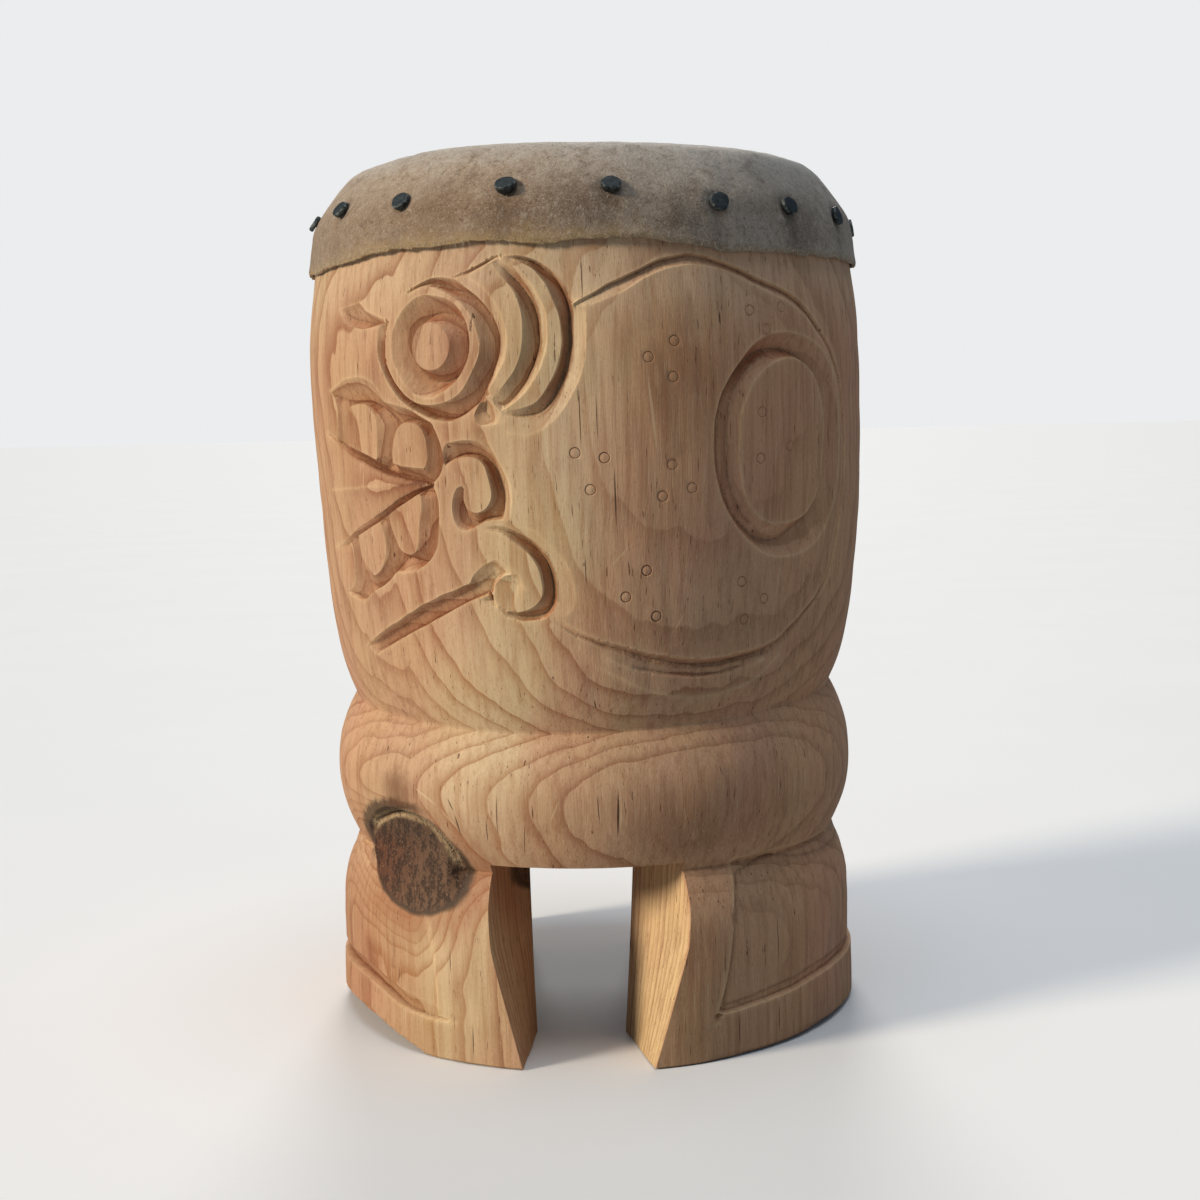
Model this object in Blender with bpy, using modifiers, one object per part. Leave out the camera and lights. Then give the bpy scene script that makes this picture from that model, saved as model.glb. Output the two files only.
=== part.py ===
"""A small carved log drum: one hollow log on two legs, a nailed hide head and its tacks.

The log's skin is described in two coordinates, both lengths:
  u  arc length round the log, measured at the radius GIRTH, 0 at the front, + to the right;
  z  height above the feet.
Carved shapes are outlines in (u, z), wrapped round the log and sunk below its skin.
"""
import math

import bmesh
import bpy
from mathutils import Matrix, Vector

MM = 0.001
STEPS = 52                    # facets round every turned piece
GIRTH = 150 * MM              # radius at which arc lengths are measured

# The log, from the feet up
FOOT_RADIUS = 143 * MM
LEG_RADIUS = 143.6 * MM
LEG_WIDEST = 52 * MM          # height where the legs start to draw in
LEG_PANEL_DEPTH = 2.6 * MM
LOWER_GROOVE = 96 * MM        # height of the groove over the legs
LOWER_GROOVE_RADIUS = 132.6 * MM
BULGE_MIDDLE = 137 * MM
BULGE_RADIUS = 142.8 * MM
WAIST = 177 * MM              # groove under the barrel, at the sides
WAIST_RADIUS = 131.5 * MM
WAIST_DIP = 9.5 * MM          # how far that groove dips at the front
WAIST_DIP_MIDDLE = -25 * MM   # arc length where it is lowest
WAIST_DIP_WIDTH = 155 * MM
WAIST_DIP_REACH = 62 * MM     # height above and below it that moves with it
BARREL_WIDEST = 345 * MM
BARREL_RADIUS = 150.2 * MM
BARREL_SWELL = 10.8 * MM      # how much the barrel draws in below, in a long curve
BARREL_TUCK = 7.9 * MM        # and in a short one, close to the waist
HEM = 404 * MM                # mean height of the hide's lower edge
HEM_SKIN_RADIUS = 145 * MM    # the log just under the hide
LEDGE = 410 * MM              # height where the shoulder under the hide starts
LEDGE_DRAW_IN = 0.4 * MM

# The hollow
BORE_OFFSET = -4 * MM         # the hollow was dug a little to the left
BORE_STATIONS = ((-6, 84), (104, 84), (190, 109), (250, 118), (470, 119))   # height, radius in mm

# The slot between the legs
SLOT_TOP = 101 * MM
SLOT_KNEE = 60 * MM                       # the sides lean up to this height, and less above it
SLOT_KNEE_SHARE = 0.8                     # how much of their lean they have there
SLOT_LEFT_OUT = (-57 * MM, -38 * MM)      # x of the outer edge, at the top and at the feet
SLOT_RIGHT_OUT = (49 * MM, 26 * MM)
SLOT_LEFT_IN = (-36 * MM, -33 * MM)       # x of the inner edge
SLOT_RIGHT_IN = (19 * MM, 13 * MM)
SLOT_OUT_DEPTH = 134 * MM                 # distance of the outer and inner edges from the axis plane
SLOT_IN_DEPTH = 79 * MM
SLOT_BACK_WIDER = 8 * MM
SLOT_BEYOND = 26 * MM                     # how far its cutter runs past the skin
SLOT_WITHIN = 7 * MM                      # and into the hollow
BELOW_FEET = -10 * MM

# The worn outer corner under the left foot
CHAMFER_AROUND = -66          # degrees from the front
CHAMFER_HEIGHT = 14 * MM
CHAMFER_SLOPE = 50            # degrees of its face below level, looking out
CHAMFER_BLOCK = 140 * MM

# The hide: radius and height down its outer face, in mm
HIDE_LINE = ((0, 456.6), (106, 455.4), (121, 453), (129, 448), (137, 438.6), (145.6, 427), (147.4, 420), (149, 404))
HIDE_THICKNESS = 2.2 * MM
SKIRT_TOP = 410 * MM          # below this the hide follows its wavy hem
HEAD_RADIUS = 100 * MM        # inside this it is the flat drumhead
GAP = 0.3 * MM                # between pieces that touch

# The tacks
TACK_AROUND = (-95, -77, -57.5, -37, -14, 6, 27, 44.5, 64, 85,      # degrees from the front
               104, 123, 144, 163, -176, -156, -135, -115)
TACK_HEIGHTS = (424, 427, 429, 428, 431, 430, 423, 423, 422, 421,   # mm above the feet
                423, 425, 424, 427, 426, 424, 426, 425)
TACK_HEAD = 4.9 * MM
TACK_THICK = 2.8 * MM
TACK_SHANK = 1.1 * MM
TACK_LENGTH = 9 * MM
TACK_HOLE = 1.5 * MM
TACK_HOLE_DEPTH = 21 * MM
TACK_HOLE_PROUD = 5 * MM      # how far the middle of the hole lies outside that of the shank

CARVING_DEPTH = 4.2 * MM
CUT_PROUD = 9 * MM            # how far a cutter stands out of the skin
CUT_STEP = 20 * MM            # widest flat of a wrapped cutter


# ---------------------------------------------------------------- the log's skin

def profile(z):
    """Radius of the turned log at the height z."""
    if z < LOWER_GROOVE:
        if z < LEG_WIDEST:
            return FOOT_RADIUS + (LEG_RADIUS - FOOT_RADIUS) * max(z, 0) / LEG_WIDEST
        t = (z - LEG_WIDEST) / (LOWER_GROOVE - LEG_WIDEST)
        return LEG_RADIUS - (LEG_RADIUS - LOWER_GROOVE_RADIUS) * t ** 2.6
    if z < WAIST:
        t = abs(z - BULGE_MIDDLE) / (WAIST - BULGE_MIDDLE)
        return BULGE_RADIUS - (BULGE_RADIUS - WAIST_RADIUS) * t ** 2.15
    if z < BARREL_WIDEST:
        t = (BARREL_WIDEST - z) / (BARREL_WIDEST - WAIST)
        return BARREL_RADIUS - BARREL_SWELL * t ** 1.8 - BARREL_TUCK * t ** 8
    t = (z - BARREL_WIDEST) / (HEM - BARREL_WIDEST)
    return BARREL_RADIUS - (BARREL_RADIUS - HEM_SKIN_RADIUS) * min(t, 1) ** 2


def waist_shift(u, z):
    """How much lower the waist groove lies at (u, z) than at the sides."""
    across = math.exp(-((u - WAIST_DIP_MIDDLE) / WAIST_DIP_WIDTH) ** 2)
    upright = max(0.0, 1 - abs(z - WAIST) / WAIST_DIP_REACH)
    return WAIST_DIP * across * upright * upright * (3 - 2 * upright)


def skin(u, z):
    """Radius of the log's skin at (u, z)."""
    return profile(z + waist_shift(u, z))


def place(u, z, radius):
    """The point at arc length u, height z and the given radius."""
    angle = u / GIRTH
    return Vector((radius * math.sin(angle), -radius * math.cos(angle), z))


def offset_line(line, distance):
    """A line of (radius, height) points moved inward, away from its outer side."""
    moved = []
    for i, point in enumerate(line):
        before = Vector(line[max(i - 1, 0)])
        after = Vector(line[min(i + 1, len(line) - 1)])
        along = (after - before).normalized()
        moved.append(Vector(point) + distance * Vector((along.y, -along.x)))
    moved[0].x = 0.0
    return [tuple(point) for point in moved]


# ---------------------------------------------------------------- making objects

def collection(name):
    """A new collection linked to the scene."""
    made = bpy.data.collections.new(name)
    bpy.context.scene.collection.children.link(made)
    return made


def material(name, color, roughness, metallic=0.0):
    """A plain Principled material."""
    made = bpy.data.materials.new(name)
    made.use_nodes = True
    shader = made.node_tree.nodes["Principled BSDF"]
    shader.inputs["Base Color"].default_value = (*color, 1.0)
    shader.inputs["Roughness"].default_value = roughness
    shader.inputs["Metallic"].default_value = metallic
    return made


def turned(name, line, steps, home):
    """A solid of revolution about Z of a line of (radius, height) points, outer side top to bottom."""
    mesh = bpy.data.meshes.new(name)
    mesh.from_pydata([(r, 0, z) for r, z in line], [(i, i + 1) for i in range(len(line) - 1)], [])
    made = bpy.data.objects.new(name, mesh)
    home.objects.link(made)
    screw = made.modifiers.new("turn", "SCREW")
    screw.axis = "Z"
    screw.steps = steps
    screw.render_steps = steps
    screw.use_merge_vertices = True
    screw.merge_threshold = 0.00005
    solid = bpy.data.meshes.new_from_object(made.evaluated_get(bpy.context.evaluated_depsgraph_get()))
    made.modifiers.clear()
    made.data = solid
    bpy.data.meshes.remove(mesh)
    return made


def as_cutter(made):
    """Marks an object as a cutter: seen as wire and left out of the model."""
    made.hide_render = True
    made.display_type = "WIRE"
    return made


def cut(made, cutters, name):
    """Subtracts every object of a collection from the object."""
    boolean = made.modifiers.new(name, "BOOLEAN")
    boolean.operation = "DIFFERENCE"
    boolean.operand_type = "COLLECTION"
    boolean.collection = cutters
    boolean.solver = "EXACT"
    boolean.use_self = True


def smooth(made, degrees=32):
    """Shades a piece smooth, but for edges sharper than the angle."""
    made.data.shade_smooth()
    made.data.set_sharp_from_angle(angle=math.radians(degrees))


# ---------------------------------------------------------------- outlines in (u, z), in mm

def arc(cu, cz, ru, rz, start, end, count):
    """Points along an ellipse, from one angle to another, in degrees from +u towards +z."""
    angles = [math.radians(start + (end - start) * i / (count - 1)) for i in range(count)]
    return [(cu + ru * math.cos(a), cz + rz * math.sin(a)) for a in angles]


def oval(cu, cz, ru, rz, count=18):
    """A whole ellipse."""
    return arc(cu, cz, ru, rz, 0, 360 * (count - 1) / count, count)


def band(line, width):
    """The outline of a groove of one width along a line of points."""
    left, right = [], []
    for i, point in enumerate(line):
        before = Vector(line[max(i - 1, 0)])
        after = Vector(line[min(i + 1, len(line) - 1)])
        along = (after - before).normalized()
        side = Vector((-along.y, along.x)) * width / 2
        left.append(tuple(Vector(point) + side))
        right.append(tuple(Vector(point) - side))
    return left + right[::-1]


EYE = (-77.5, 358)            # centre of the eye
EAR = (111, 310)              # centre of the ear disc


def eye_cuts():
    """The moat round the pupil, the trough round the ring, and the grooves beside two crescents."""
    u, z = EYE
    moat = [oval(u, z, 23.5, 24), oval(u, z, 11.6, 12, 12)]
    trough = [arc(u + 5.5, z - 2, 32.5, 35, -160, 160, 18) + arc(u, z, 28, 28, 164, -164, 16)]
    between = [arc(u, z, 48.7, 48, 45, -34, 8) + [(-39, 326)] + arc(u, z, 56.5, 54, -34, 44, 8)]
    outer = [arc(u, z, 67, 65, 36, -30, 7) + [(-38, 325), (-30, 322), (-16, 328)]
             + arc(u, z, 73, 71, -14, 33, 6) + [(-30, 397)]]
    return [moat, trough, between, outer]


def mouth_cuts():
    """The hollows round the upper and lower teeth, on either side of the wedge-shaped tongue."""
    upper = [(-160, 320), (-155, 334), (-147, 342), (-131, 346), (-120, 343), (-109, 328), (-92, 328),
             (-80, 322), (-73, 305), (-75, 297), (-80, 293), (-107, 298), (-137, 306)]
    tooth_1 = [(-143, 314), (-143, 328), (-138, 331), (-124, 331), (-115, 322), (-118, 304), (-130, 308)]
    tooth_2 = [(-104, 302), (-104, 317), (-99, 321), (-88, 320), (-81, 312), (-82, 300)]
    lower = [(-79, 290), (-77, 268), (-83, 259), (-92, 252), (-106, 252), (-119, 241), (-132, 236),
             (-148, 232), (-143, 246), (-143, 261), (-112, 276)]
    tooth_3 = [(-139, 262), (-116, 272), (-115, 260), (-121, 248), (-130, 245)]
    tooth_4 = [(-111, 274), (-88, 285), (-91, 262), (-98, 257), (-105, 261)]
    return [[upper, tooth_1, tooth_2], [lower, tooth_3, tooth_4]]


def nose_cuts():
    """The nostril notch, the slope behind the nose, and the chip under the crescents."""
    notch = [[(-145, 379), (-126, 379), (-117, 373), (-106, 371), (-110, 368), (-124, 367), (-138, 371)]]
    chip = [[(-52, 320), (-48, 331), (-40, 324)]]
    return [notch, chip]


def curl_cuts():
    """The hooked groove of the upper curl, the groove round the lower one, and the jaw bar."""
    hook = [(-69, 312), (-56, 312), (-49, 309), (-44, 299), (-40, 285), (-42, 274), (-51, 272),
            (-63, 268), (-68, 278), (-65, 288), (-61, 291), (-59, 281), (-53, 277), (-48, 280),
            (-47, 290), (-52, 300), (-60, 304), (-70, 300)]
    sweep = [(-40, 272), (-27, 264), (-18, 250), (-16, 236), (-22, 226), (-34, 226), (-42, 229),
             (-34, 230), (-25, 234), (-23, 244), (-29, 258), (-40, 267), (-50, 269)]
    bar = [(-143, 208), (-102, 227), (-79, 237), (-61, 245), (-54, 252), (-44, 255), (-39, 251),
           (-47, 245), (-53, 237), (-72, 230), (-99, 218), (-134, 204)]
    return [[hook], [sweep], [bar]]


def head_cuts():
    """The line round the big head plate, and the hollow between the ear's rim and its disc."""
    top = [(-4, 376), (20, 387), (38, 395), (56, 396), (92, 386), (117, 378)]
    right = arc(96, 300, 70, 86, 62, -58, 11)
    bottom = [(112, 209), (88, 201), (60, 199), (31, 204), (0, 219), (-16, 226)]
    rim = [oval(*EAR, 47.5, 51, 24), oval(*EAR, 33, 43)]
    return [[band(top + right + bottom, 4)], rim]


def leg_cuts():
    """The sunk panel of each leg, above its foot band, from one slot to the other."""
    left_front = [(-96, 88), (-92, 58), (-88, 22), (-110, 26), (-150, 36)]
    left_back = [(-380, 36), (-380, 88)]
    right_front = [(79, 88), (74, 58), (67, 27), (104, 28), (150, 35)]
    right_back = [(380, 35), (380, 88)]
    return [[left_front + left_back], [right_front + right_back]]


# ---------------------------------------------------------------- cutters

def wrapped_cutter(name, loops, depth, home):
    """A plate of the given outlines (the first with the others as holes), wrapped round the log."""
    curve = bpy.data.curves.new(name, "CURVE")
    curve.dimensions = "2D"
    curve.fill_mode = "BOTH"
    curve.extrude = 1 * MM
    for loop in loops:
        spline = curve.splines.new("POLY")
        spline.points.add(len(loop) - 1)
        for point, (u, z) in zip(spline.points, loop):
            point.co = (u * MM, z * MM, 0, 1)
        spline.use_cyclic_u = True
    flat = bpy.data.objects.new(name + "_flat", curve)
    home.objects.link(flat)
    mesh = bpy.data.meshes.new_from_object(flat.evaluated_get(bpy.context.evaluated_depsgraph_get()))
    bpy.data.objects.remove(flat)
    bm = bmesh.new()
    bm.from_mesh(mesh)
    bmesh.ops.remove_doubles(bm, verts=bm.verts, dist=0.01 * MM)
    slice_plate(bm, 0)
    slice_plate(bm, 1)
    for vertex in bm.verts:
        u, z, side = vertex.co
        radius = skin(u, z) - depth if side < 0 else skin(u, z) + CUT_PROUD
        vertex.co = place(u, z, radius)
    return closed_cutter(name, bm, home)


def closed_cutter(name, bm, home):
    """A cutter of a closed bmesh, with its faces turned outwards."""
    bmesh.ops.recalc_face_normals(bm, faces=bm.faces)
    if bm.calc_volume(signed=True) < 0:
        bmesh.ops.reverse_faces(bm, faces=bm.faces)
    mesh = bpy.data.meshes.new(name)
    bm.to_mesh(mesh)
    bm.free()
    made = bpy.data.objects.new(name, mesh)
    home.objects.link(made)
    return as_cutter(made)


def slice_plate(bm, axis):
    """Cuts a flat plate across one axis into strips that can bend."""
    step = CUT_STEP * (1 + axis)
    low = min(vertex.co[axis] for vertex in bm.verts)
    high = max(vertex.co[axis] for vertex in bm.verts)
    count = math.ceil((high - low) / step)
    normal = Vector((1 - axis, axis, 0))
    for i in range(1, count):
        everything = bm.verts[:] + bm.edges[:] + bm.faces[:]
        bmesh.ops.bisect_plane(bm, geom=everything, plane_co=normal * (low + (high - low) * i / count),
                               plane_no=normal, dist=0.01 * MM)


def slot_cutter(name, side, wider, home):
    """One end of the slot: four-sided, wider outside than inside, and wider above than at the feet."""
    levels = ((BELOW_FEET, 0), (0, 0), (SLOT_KNEE, SLOT_KNEE_SHARE), (SLOT_TOP, 1))
    bm = bmesh.new()
    rings = []
    for z, share in levels:
        left_out, left_in = slot_edge(SLOT_LEFT_OUT, SLOT_LEFT_IN, share, -wider)
        right_out, right_in = slot_edge(SLOT_RIGHT_OUT, SLOT_RIGHT_IN, share, wider)
        corners = [left_out, right_out, right_in, left_in]
        rings.append([bm.verts.new((x, y * side, z)) for x, y in corners])
    for lower, upper in zip(rings, rings[1:]):
        for i in range(4):
            j = (i + 1) % 4
            bm.faces.new((lower[i], lower[j], upper[j], upper[i]))
    bm.faces.new(rings[0])
    bm.faces.new(rings[-1])
    return closed_cutter(name, bm, home)


def slot_edge(outer, inner, share, wider):
    """Both ends of one side of the slot in plan, carried past the log's skin and into the hollow."""
    out_x = outer[1] + (outer[0] - outer[1]) * share + wider
    in_x = inner[1] + (inner[0] - inner[1]) * share + wider
    run_x = (out_x - in_x) / (SLOT_OUT_DEPTH - SLOT_IN_DEPTH)
    out_point = (out_x + run_x * SLOT_BEYOND, SLOT_OUT_DEPTH + SLOT_BEYOND)
    in_point = (in_x - run_x * SLOT_WITHIN, SLOT_IN_DEPTH - SLOT_WITHIN)
    return out_point, in_point


def chamfer_cutter(home):
    """The sloping cut under the outer corner of the left foot."""
    angle = math.radians(CHAMFER_AROUND)
    slope = math.radians(CHAMFER_SLOPE)
    flat = Vector((math.sin(angle), -math.cos(angle), 0))
    outward = flat * math.cos(slope) - Vector((0, 0, math.sin(slope)))
    edge = flat * FOOT_RADIUS + Vector((0, 0, CHAMFER_HEIGHT))
    bpy.ops.mesh.primitive_cube_add(size=CHAMFER_BLOCK)
    made = bpy.context.object
    made.name = "cut_foot_corner"
    bpy.context.collection.objects.unlink(made)
    home.objects.link(made)
    turn = outward.to_track_quat("Z", "Y").to_matrix().to_4x4()
    made.matrix_world = Matrix.Translation(edge + outward * CHAMFER_BLOCK / 2) @ turn
    return as_cutter(made)


def tack_seat(index):
    """Where a tack sits on the hide: the point of its outer face, and the way out of it."""
    angle = math.radians(TACK_AROUND[index])
    height = TACK_HEIGHTS[index]
    for (r_1, z_1), (r_0, z_0) in zip(HIDE_LINE, HIDE_LINE[1:]):
        if z_0 <= height <= z_1:
            break
    share = (height - z_0) / (z_1 - z_0)
    radius = (r_0 + (r_1 - r_0) * share) * MM
    rise = math.atan2(r_0 - r_1, z_1 - z_0)
    flat = Vector((math.sin(angle), -math.cos(angle), 0))
    outward = flat * math.cos(rise) + Vector((0, 0, math.sin(rise)))
    return flat * radius + Vector((0, 0, height * MM)), outward


# ---------------------------------------------------------------- the pieces

def make_body(home, cutters, holes, wood):
    """The log: turned outside, hollowed, slotted below into two legs, and carved."""
    stations = (0, 34, 52, 74, 88, 96, 102, 112, 124, 137, 152, 166, 177,
                185, 198, 222, 262, 312, 360, 392)
    top = offset_line([(r * MM, z * MM) for r, z in HIDE_LINE], HIDE_THICKNESS + GAP)
    shoulder = top[3:-1] + [(HEM_SKIN_RADIUS - LEDGE_DRAW_IN, LEDGE)]
    line = [(0, shoulder[0][1])] + shoulder
    line += [(profile(z * MM), z * MM) for z in reversed(stations)] + [(0, 0)]
    body = turned("drum_body", line, STEPS, home)
    for vertex in body.data.vertices:
        x, y, z = vertex.co
        u = math.atan2(x, -y) * GIRTH
        lowered = z
        for _ in range(6):
            lowered = z - waist_shift(u, lowered)
        vertex.co.z = lowered
    bore_line = [(0, BORE_STATIONS[-1][0] * MM)]
    bore_line += [(r * MM, z * MM) for z, r in reversed(BORE_STATIONS)] + [(0, BORE_STATIONS[0][0] * MM)]
    bore = as_cutter(turned("cut_bore", bore_line, STEPS // 2, cutters))
    bore.location.x = BORE_OFFSET
    slot_cutter("cut_slot_front", -1, 0, cutters)
    slot_cutter("cut_slot_back", 1, SLOT_BACK_WIDER, cutters)
    chamfer_cutter(cutters)
    carvings = (("eye", eye_cuts()), ("mouth", mouth_cuts()), ("nose", nose_cuts()),
                ("curl", curl_cuts()), ("head", head_cuts()))
    for name, cuts in carvings:
        for i, loops in enumerate(cuts):
            wrapped_cutter(f"cut_{name}_{i}", loops, CARVING_DEPTH, cutters)
    for i, loops in enumerate(leg_cuts()):
        wrapped_cutter(f"cut_leg_{i}", loops, LEG_PANEL_DEPTH, cutters)
    cut(body, cutters, "hollow_and_carving")
    cut(body, holes, "tack_holes")
    body.data.materials.append(wood)
    smooth(body)
    return body


def make_hide(home, holes, leather):
    """The head: a thin cap over the rim with a short skirt, open below."""
    outer = [(r * MM, z * MM) for r, z in HIDE_LINE]
    inner = offset_line(outer, HIDE_THICKNESS)
    hide = turned("drumhead_hide", outer + inner[::-1], STEPS, home)
    for vertex in hide.data.vertices:
        x, y, z = vertex.co
        if z < SKIRT_TOP and math.hypot(x, y) > HEAD_RADIUS:
            vertex.co.z += hem_wave(math.atan2(x, -y))
    cut(hide, holes, "tack_holes")
    hide.data.materials.append(leather)
    smooth(hide)
    return hide


def hem_wave(angle):
    """How far the cut edge of the hide wanders above and below its mean height."""
    return (2.4 * math.cos(angle + 0.2) + 0.9 * math.sin(3 * angle + 0.6)) * MM


def make_tacks(home, holes, iron):
    """Eighteen tacks with flat round heads, and the clearance holes they stand in."""
    line = [(0, TACK_THICK), (TACK_HEAD * 0.8, TACK_THICK), (TACK_HEAD, TACK_THICK * 0.72),
            (TACK_HEAD, 0), (TACK_SHANK, 0), (TACK_SHANK, -TACK_LENGTH * 0.75), (0, -TACK_LENGTH)]
    first = turned("tack_01", line, 8, home)
    first.data.materials.append(iron)
    smooth(first)
    for i in range(len(TACK_AROUND)):
        seat, outward = tack_seat(i)
        turn = outward.to_track_quat("Z", "Y").to_matrix().to_4x4()
        tack = first
        if i:
            tack = bpy.data.objects.new(f"tack_{i + 1:02d}", first.data)
            home.objects.link(tack)
        tack.matrix_world = Matrix.Translation(seat + outward * GAP) @ turn
        bpy.ops.mesh.primitive_cylinder_add(vertices=6, radius=TACK_HOLE, depth=TACK_HOLE_DEPTH)
        hole = bpy.context.object
        hole.name = f"hole_{i + 1:02d}"
        bpy.context.collection.objects.unlink(hole)
        holes.objects.link(hole)
        middle = seat - outward * (TACK_LENGTH / 2 - TACK_HOLE_PROUD)
        hole.matrix_world = Matrix.Translation(middle) @ turn
        as_cutter(hole)


def main():
    for existing in list(bpy.data.objects):
        bpy.data.objects.remove(existing)
    home = collection("carved_log_drum")
    cutters = collection("cutters")
    holes = collection("tack_hole_cutters")
    wood = material("pine", (0.56, 0.37, 0.23), 0.62)
    leather = material("hair_on_hide", (0.30, 0.24, 0.18), 0.85)
    iron = material("blackened_iron", (0.02, 0.022, 0.022), 0.45, 0.6)
    make_tacks(home, holes, iron)
    make_body(home, cutters, holes, wood)
    make_hide(home, holes, leather)


main()
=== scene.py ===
"""The looks of a small carved log drum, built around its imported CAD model.

The log is one closed skin. A point of its outside is given by
  u  arc length round the log at the radius GIRTH, 0 at the front, + to the right, in mm;
  z  height above the feet, in mm.
Everything carved into it is a set of crease lines in (u, z), each with its depth below the log's skin.
The flats between them are the triangles of a Delaunay net, as a knife would leave them.
"""
import math

import bmesh
import bpy
import numpy as np
from mathutils import Matrix, Vector
from mathutils.geometry import delaunay_2d_cdt


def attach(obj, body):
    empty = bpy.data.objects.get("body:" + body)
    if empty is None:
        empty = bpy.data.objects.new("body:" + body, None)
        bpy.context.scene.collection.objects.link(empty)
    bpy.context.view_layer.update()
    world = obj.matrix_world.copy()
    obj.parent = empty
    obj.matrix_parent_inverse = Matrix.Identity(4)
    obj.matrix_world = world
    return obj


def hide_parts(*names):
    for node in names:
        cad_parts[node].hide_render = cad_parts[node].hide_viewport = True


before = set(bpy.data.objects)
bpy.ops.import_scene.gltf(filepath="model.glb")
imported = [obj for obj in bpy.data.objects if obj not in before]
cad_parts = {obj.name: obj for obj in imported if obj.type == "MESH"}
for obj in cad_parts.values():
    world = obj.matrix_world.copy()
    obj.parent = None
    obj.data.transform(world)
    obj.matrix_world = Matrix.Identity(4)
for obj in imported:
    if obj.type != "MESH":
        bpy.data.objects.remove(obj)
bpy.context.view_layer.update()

MM = 0.001
GIRTH = 150.0                     # radius at which arc lengths are measured
ROUND = 2 * math.pi * GIRTH
HALF_ROUND = ROUND / 2
KNOT_U, KNOT_Z = -118.0, 99.5     # middle of the knot on the skin, and half its width and height
KNOT_WIDE, KNOT_HIGH = 38.0, 26.5
KNOT_SLANT = 0.28                 # how far its lower half leans to the right
KNOT_FACE, KNOT_FALL = 136.2, 0.09    # radius of its flat face at z = 122, and how that grows downwards


# ================================================================ numbers at random

def lattice(cell, seed):
    """A repeatable number from 0 to 1 for each whole-numbered point: its bits mixed by two products."""
    h = (cell[..., 0] * 374761393 + cell[..., 1] * 668265263 + cell[..., 2] * 974634777
         + seed * 1274126177) & 0xFFFFFFFF
    h = ((h ^ (h >> 13)) * 1274126177) & 0xFFFFFFFF
    h = ((h ^ (h >> 15)) * 668265263) & 0xFFFFFFFF
    return ((h ^ (h >> 16)) & 0xFFFFFF) / 0xFFFFFF


def noise(points, size, seed):
    """Smooth noise from -1 to 1: the lattice numbers blended along each axis by 3tt - 2ttt."""
    q = points / size
    base = np.floor(q).astype(np.int64)
    t = q - base
    t = t * t * (3 - 2 * t)
    total = np.zeros(points.shape[:-1])
    for corner in range(8):
        step = np.array([corner & 1, corner >> 1 & 1, corner >> 2 & 1])
        weight = np.prod(np.where(step == 1, t, 1 - t), axis=-1)
        total += weight * lattice(base + step, seed)
    return total * 2 - 1


def scallops(u, z, wide, high, seed):
    """Shallow gouge cuts: 0 at the middle of each cell of a scattered brick pattern, rising as a
    parabola to about 1 where it meets the next one."""
    a, b = u / wide, z / high
    best = np.full(np.shape(a), 9.0)
    column, row = np.floor(a).astype(np.int64), np.floor(b).astype(np.int64)
    for i in (-1, 0, 1):
        for j in (-1, 0, 1):
            cell = np.stack([column + i, row + j, np.zeros_like(row)], -1)
            middle_a = column + i + 0.25 + 0.5 * lattice(cell, seed)
            middle_b = row + j + 0.25 + 0.5 * lattice(cell, seed + 1)
            best = np.minimum(best, (a - middle_a) ** 2 + (b - middle_b) ** 2)
    return np.minimum(best / 0.5, 1.3)


# ================================================================ the log's skin

LEGS_Z, GROOVE_Z, BULGE_Z, WAIST_Z, SWELL_Z = 52, 96, 137, 177, 345     # widest and narrowest heights


def profile(z):
    """Radius of the turned log at the height z: legs that draw in to a groove, a ring bulge between it
    and the waist, and a barrel that swells and draws in again under the hide. Each part is its
    widest radius less a power of the distance from its widest height."""
    legs_t = np.clip((z - LEGS_Z) / (GROOVE_Z - LEGS_Z), 0, 1)
    legs = 143 + 0.6 * np.clip(z, 0, LEGS_Z) / LEGS_Z - 11 * legs_t ** 2.6
    bulge = 142.8 - 11.3 * np.clip(np.abs(z - BULGE_Z) / (WAIST_Z - BULGE_Z), 0, 1.1) ** 2.15
    barrel_t = np.clip((SWELL_Z - z) / (SWELL_Z - WAIST_Z), 0, 1)
    barrel = 150.2 - 10.8 * barrel_t ** 1.8 - 7.9 * barrel_t ** 8
    shoulder = 150.2 - 5.2 * np.clip((z - SWELL_Z) / 59, 0, 1) ** 2
    upper = np.where(z < SWELL_Z, barrel, shoulder)
    return np.where(z < GROOVE_Z, legs, np.where(z < WAIST_Z, bulge, upper))


def waist_shift(u, z):
    """How much lower the waist groove lies than at the sides: a bell along u, faded out 62 mm above and
    below the groove."""
    across = np.exp(-((u + 25) / 155) ** 2)
    upright = np.clip(1 - np.abs(z - WAIST_Z) / 62, 0, 1)
    return 9.5 * across * upright ** 2 * (3 - 2 * upright)


def around(u, z, radius):
    """The point (x, y, z) at arc length u, height z and the given radius."""
    angle = u / GIRTH
    return np.stack(np.broadcast_arrays(radius * np.sin(angle), -radius * np.cos(angle), z), -1)


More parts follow.
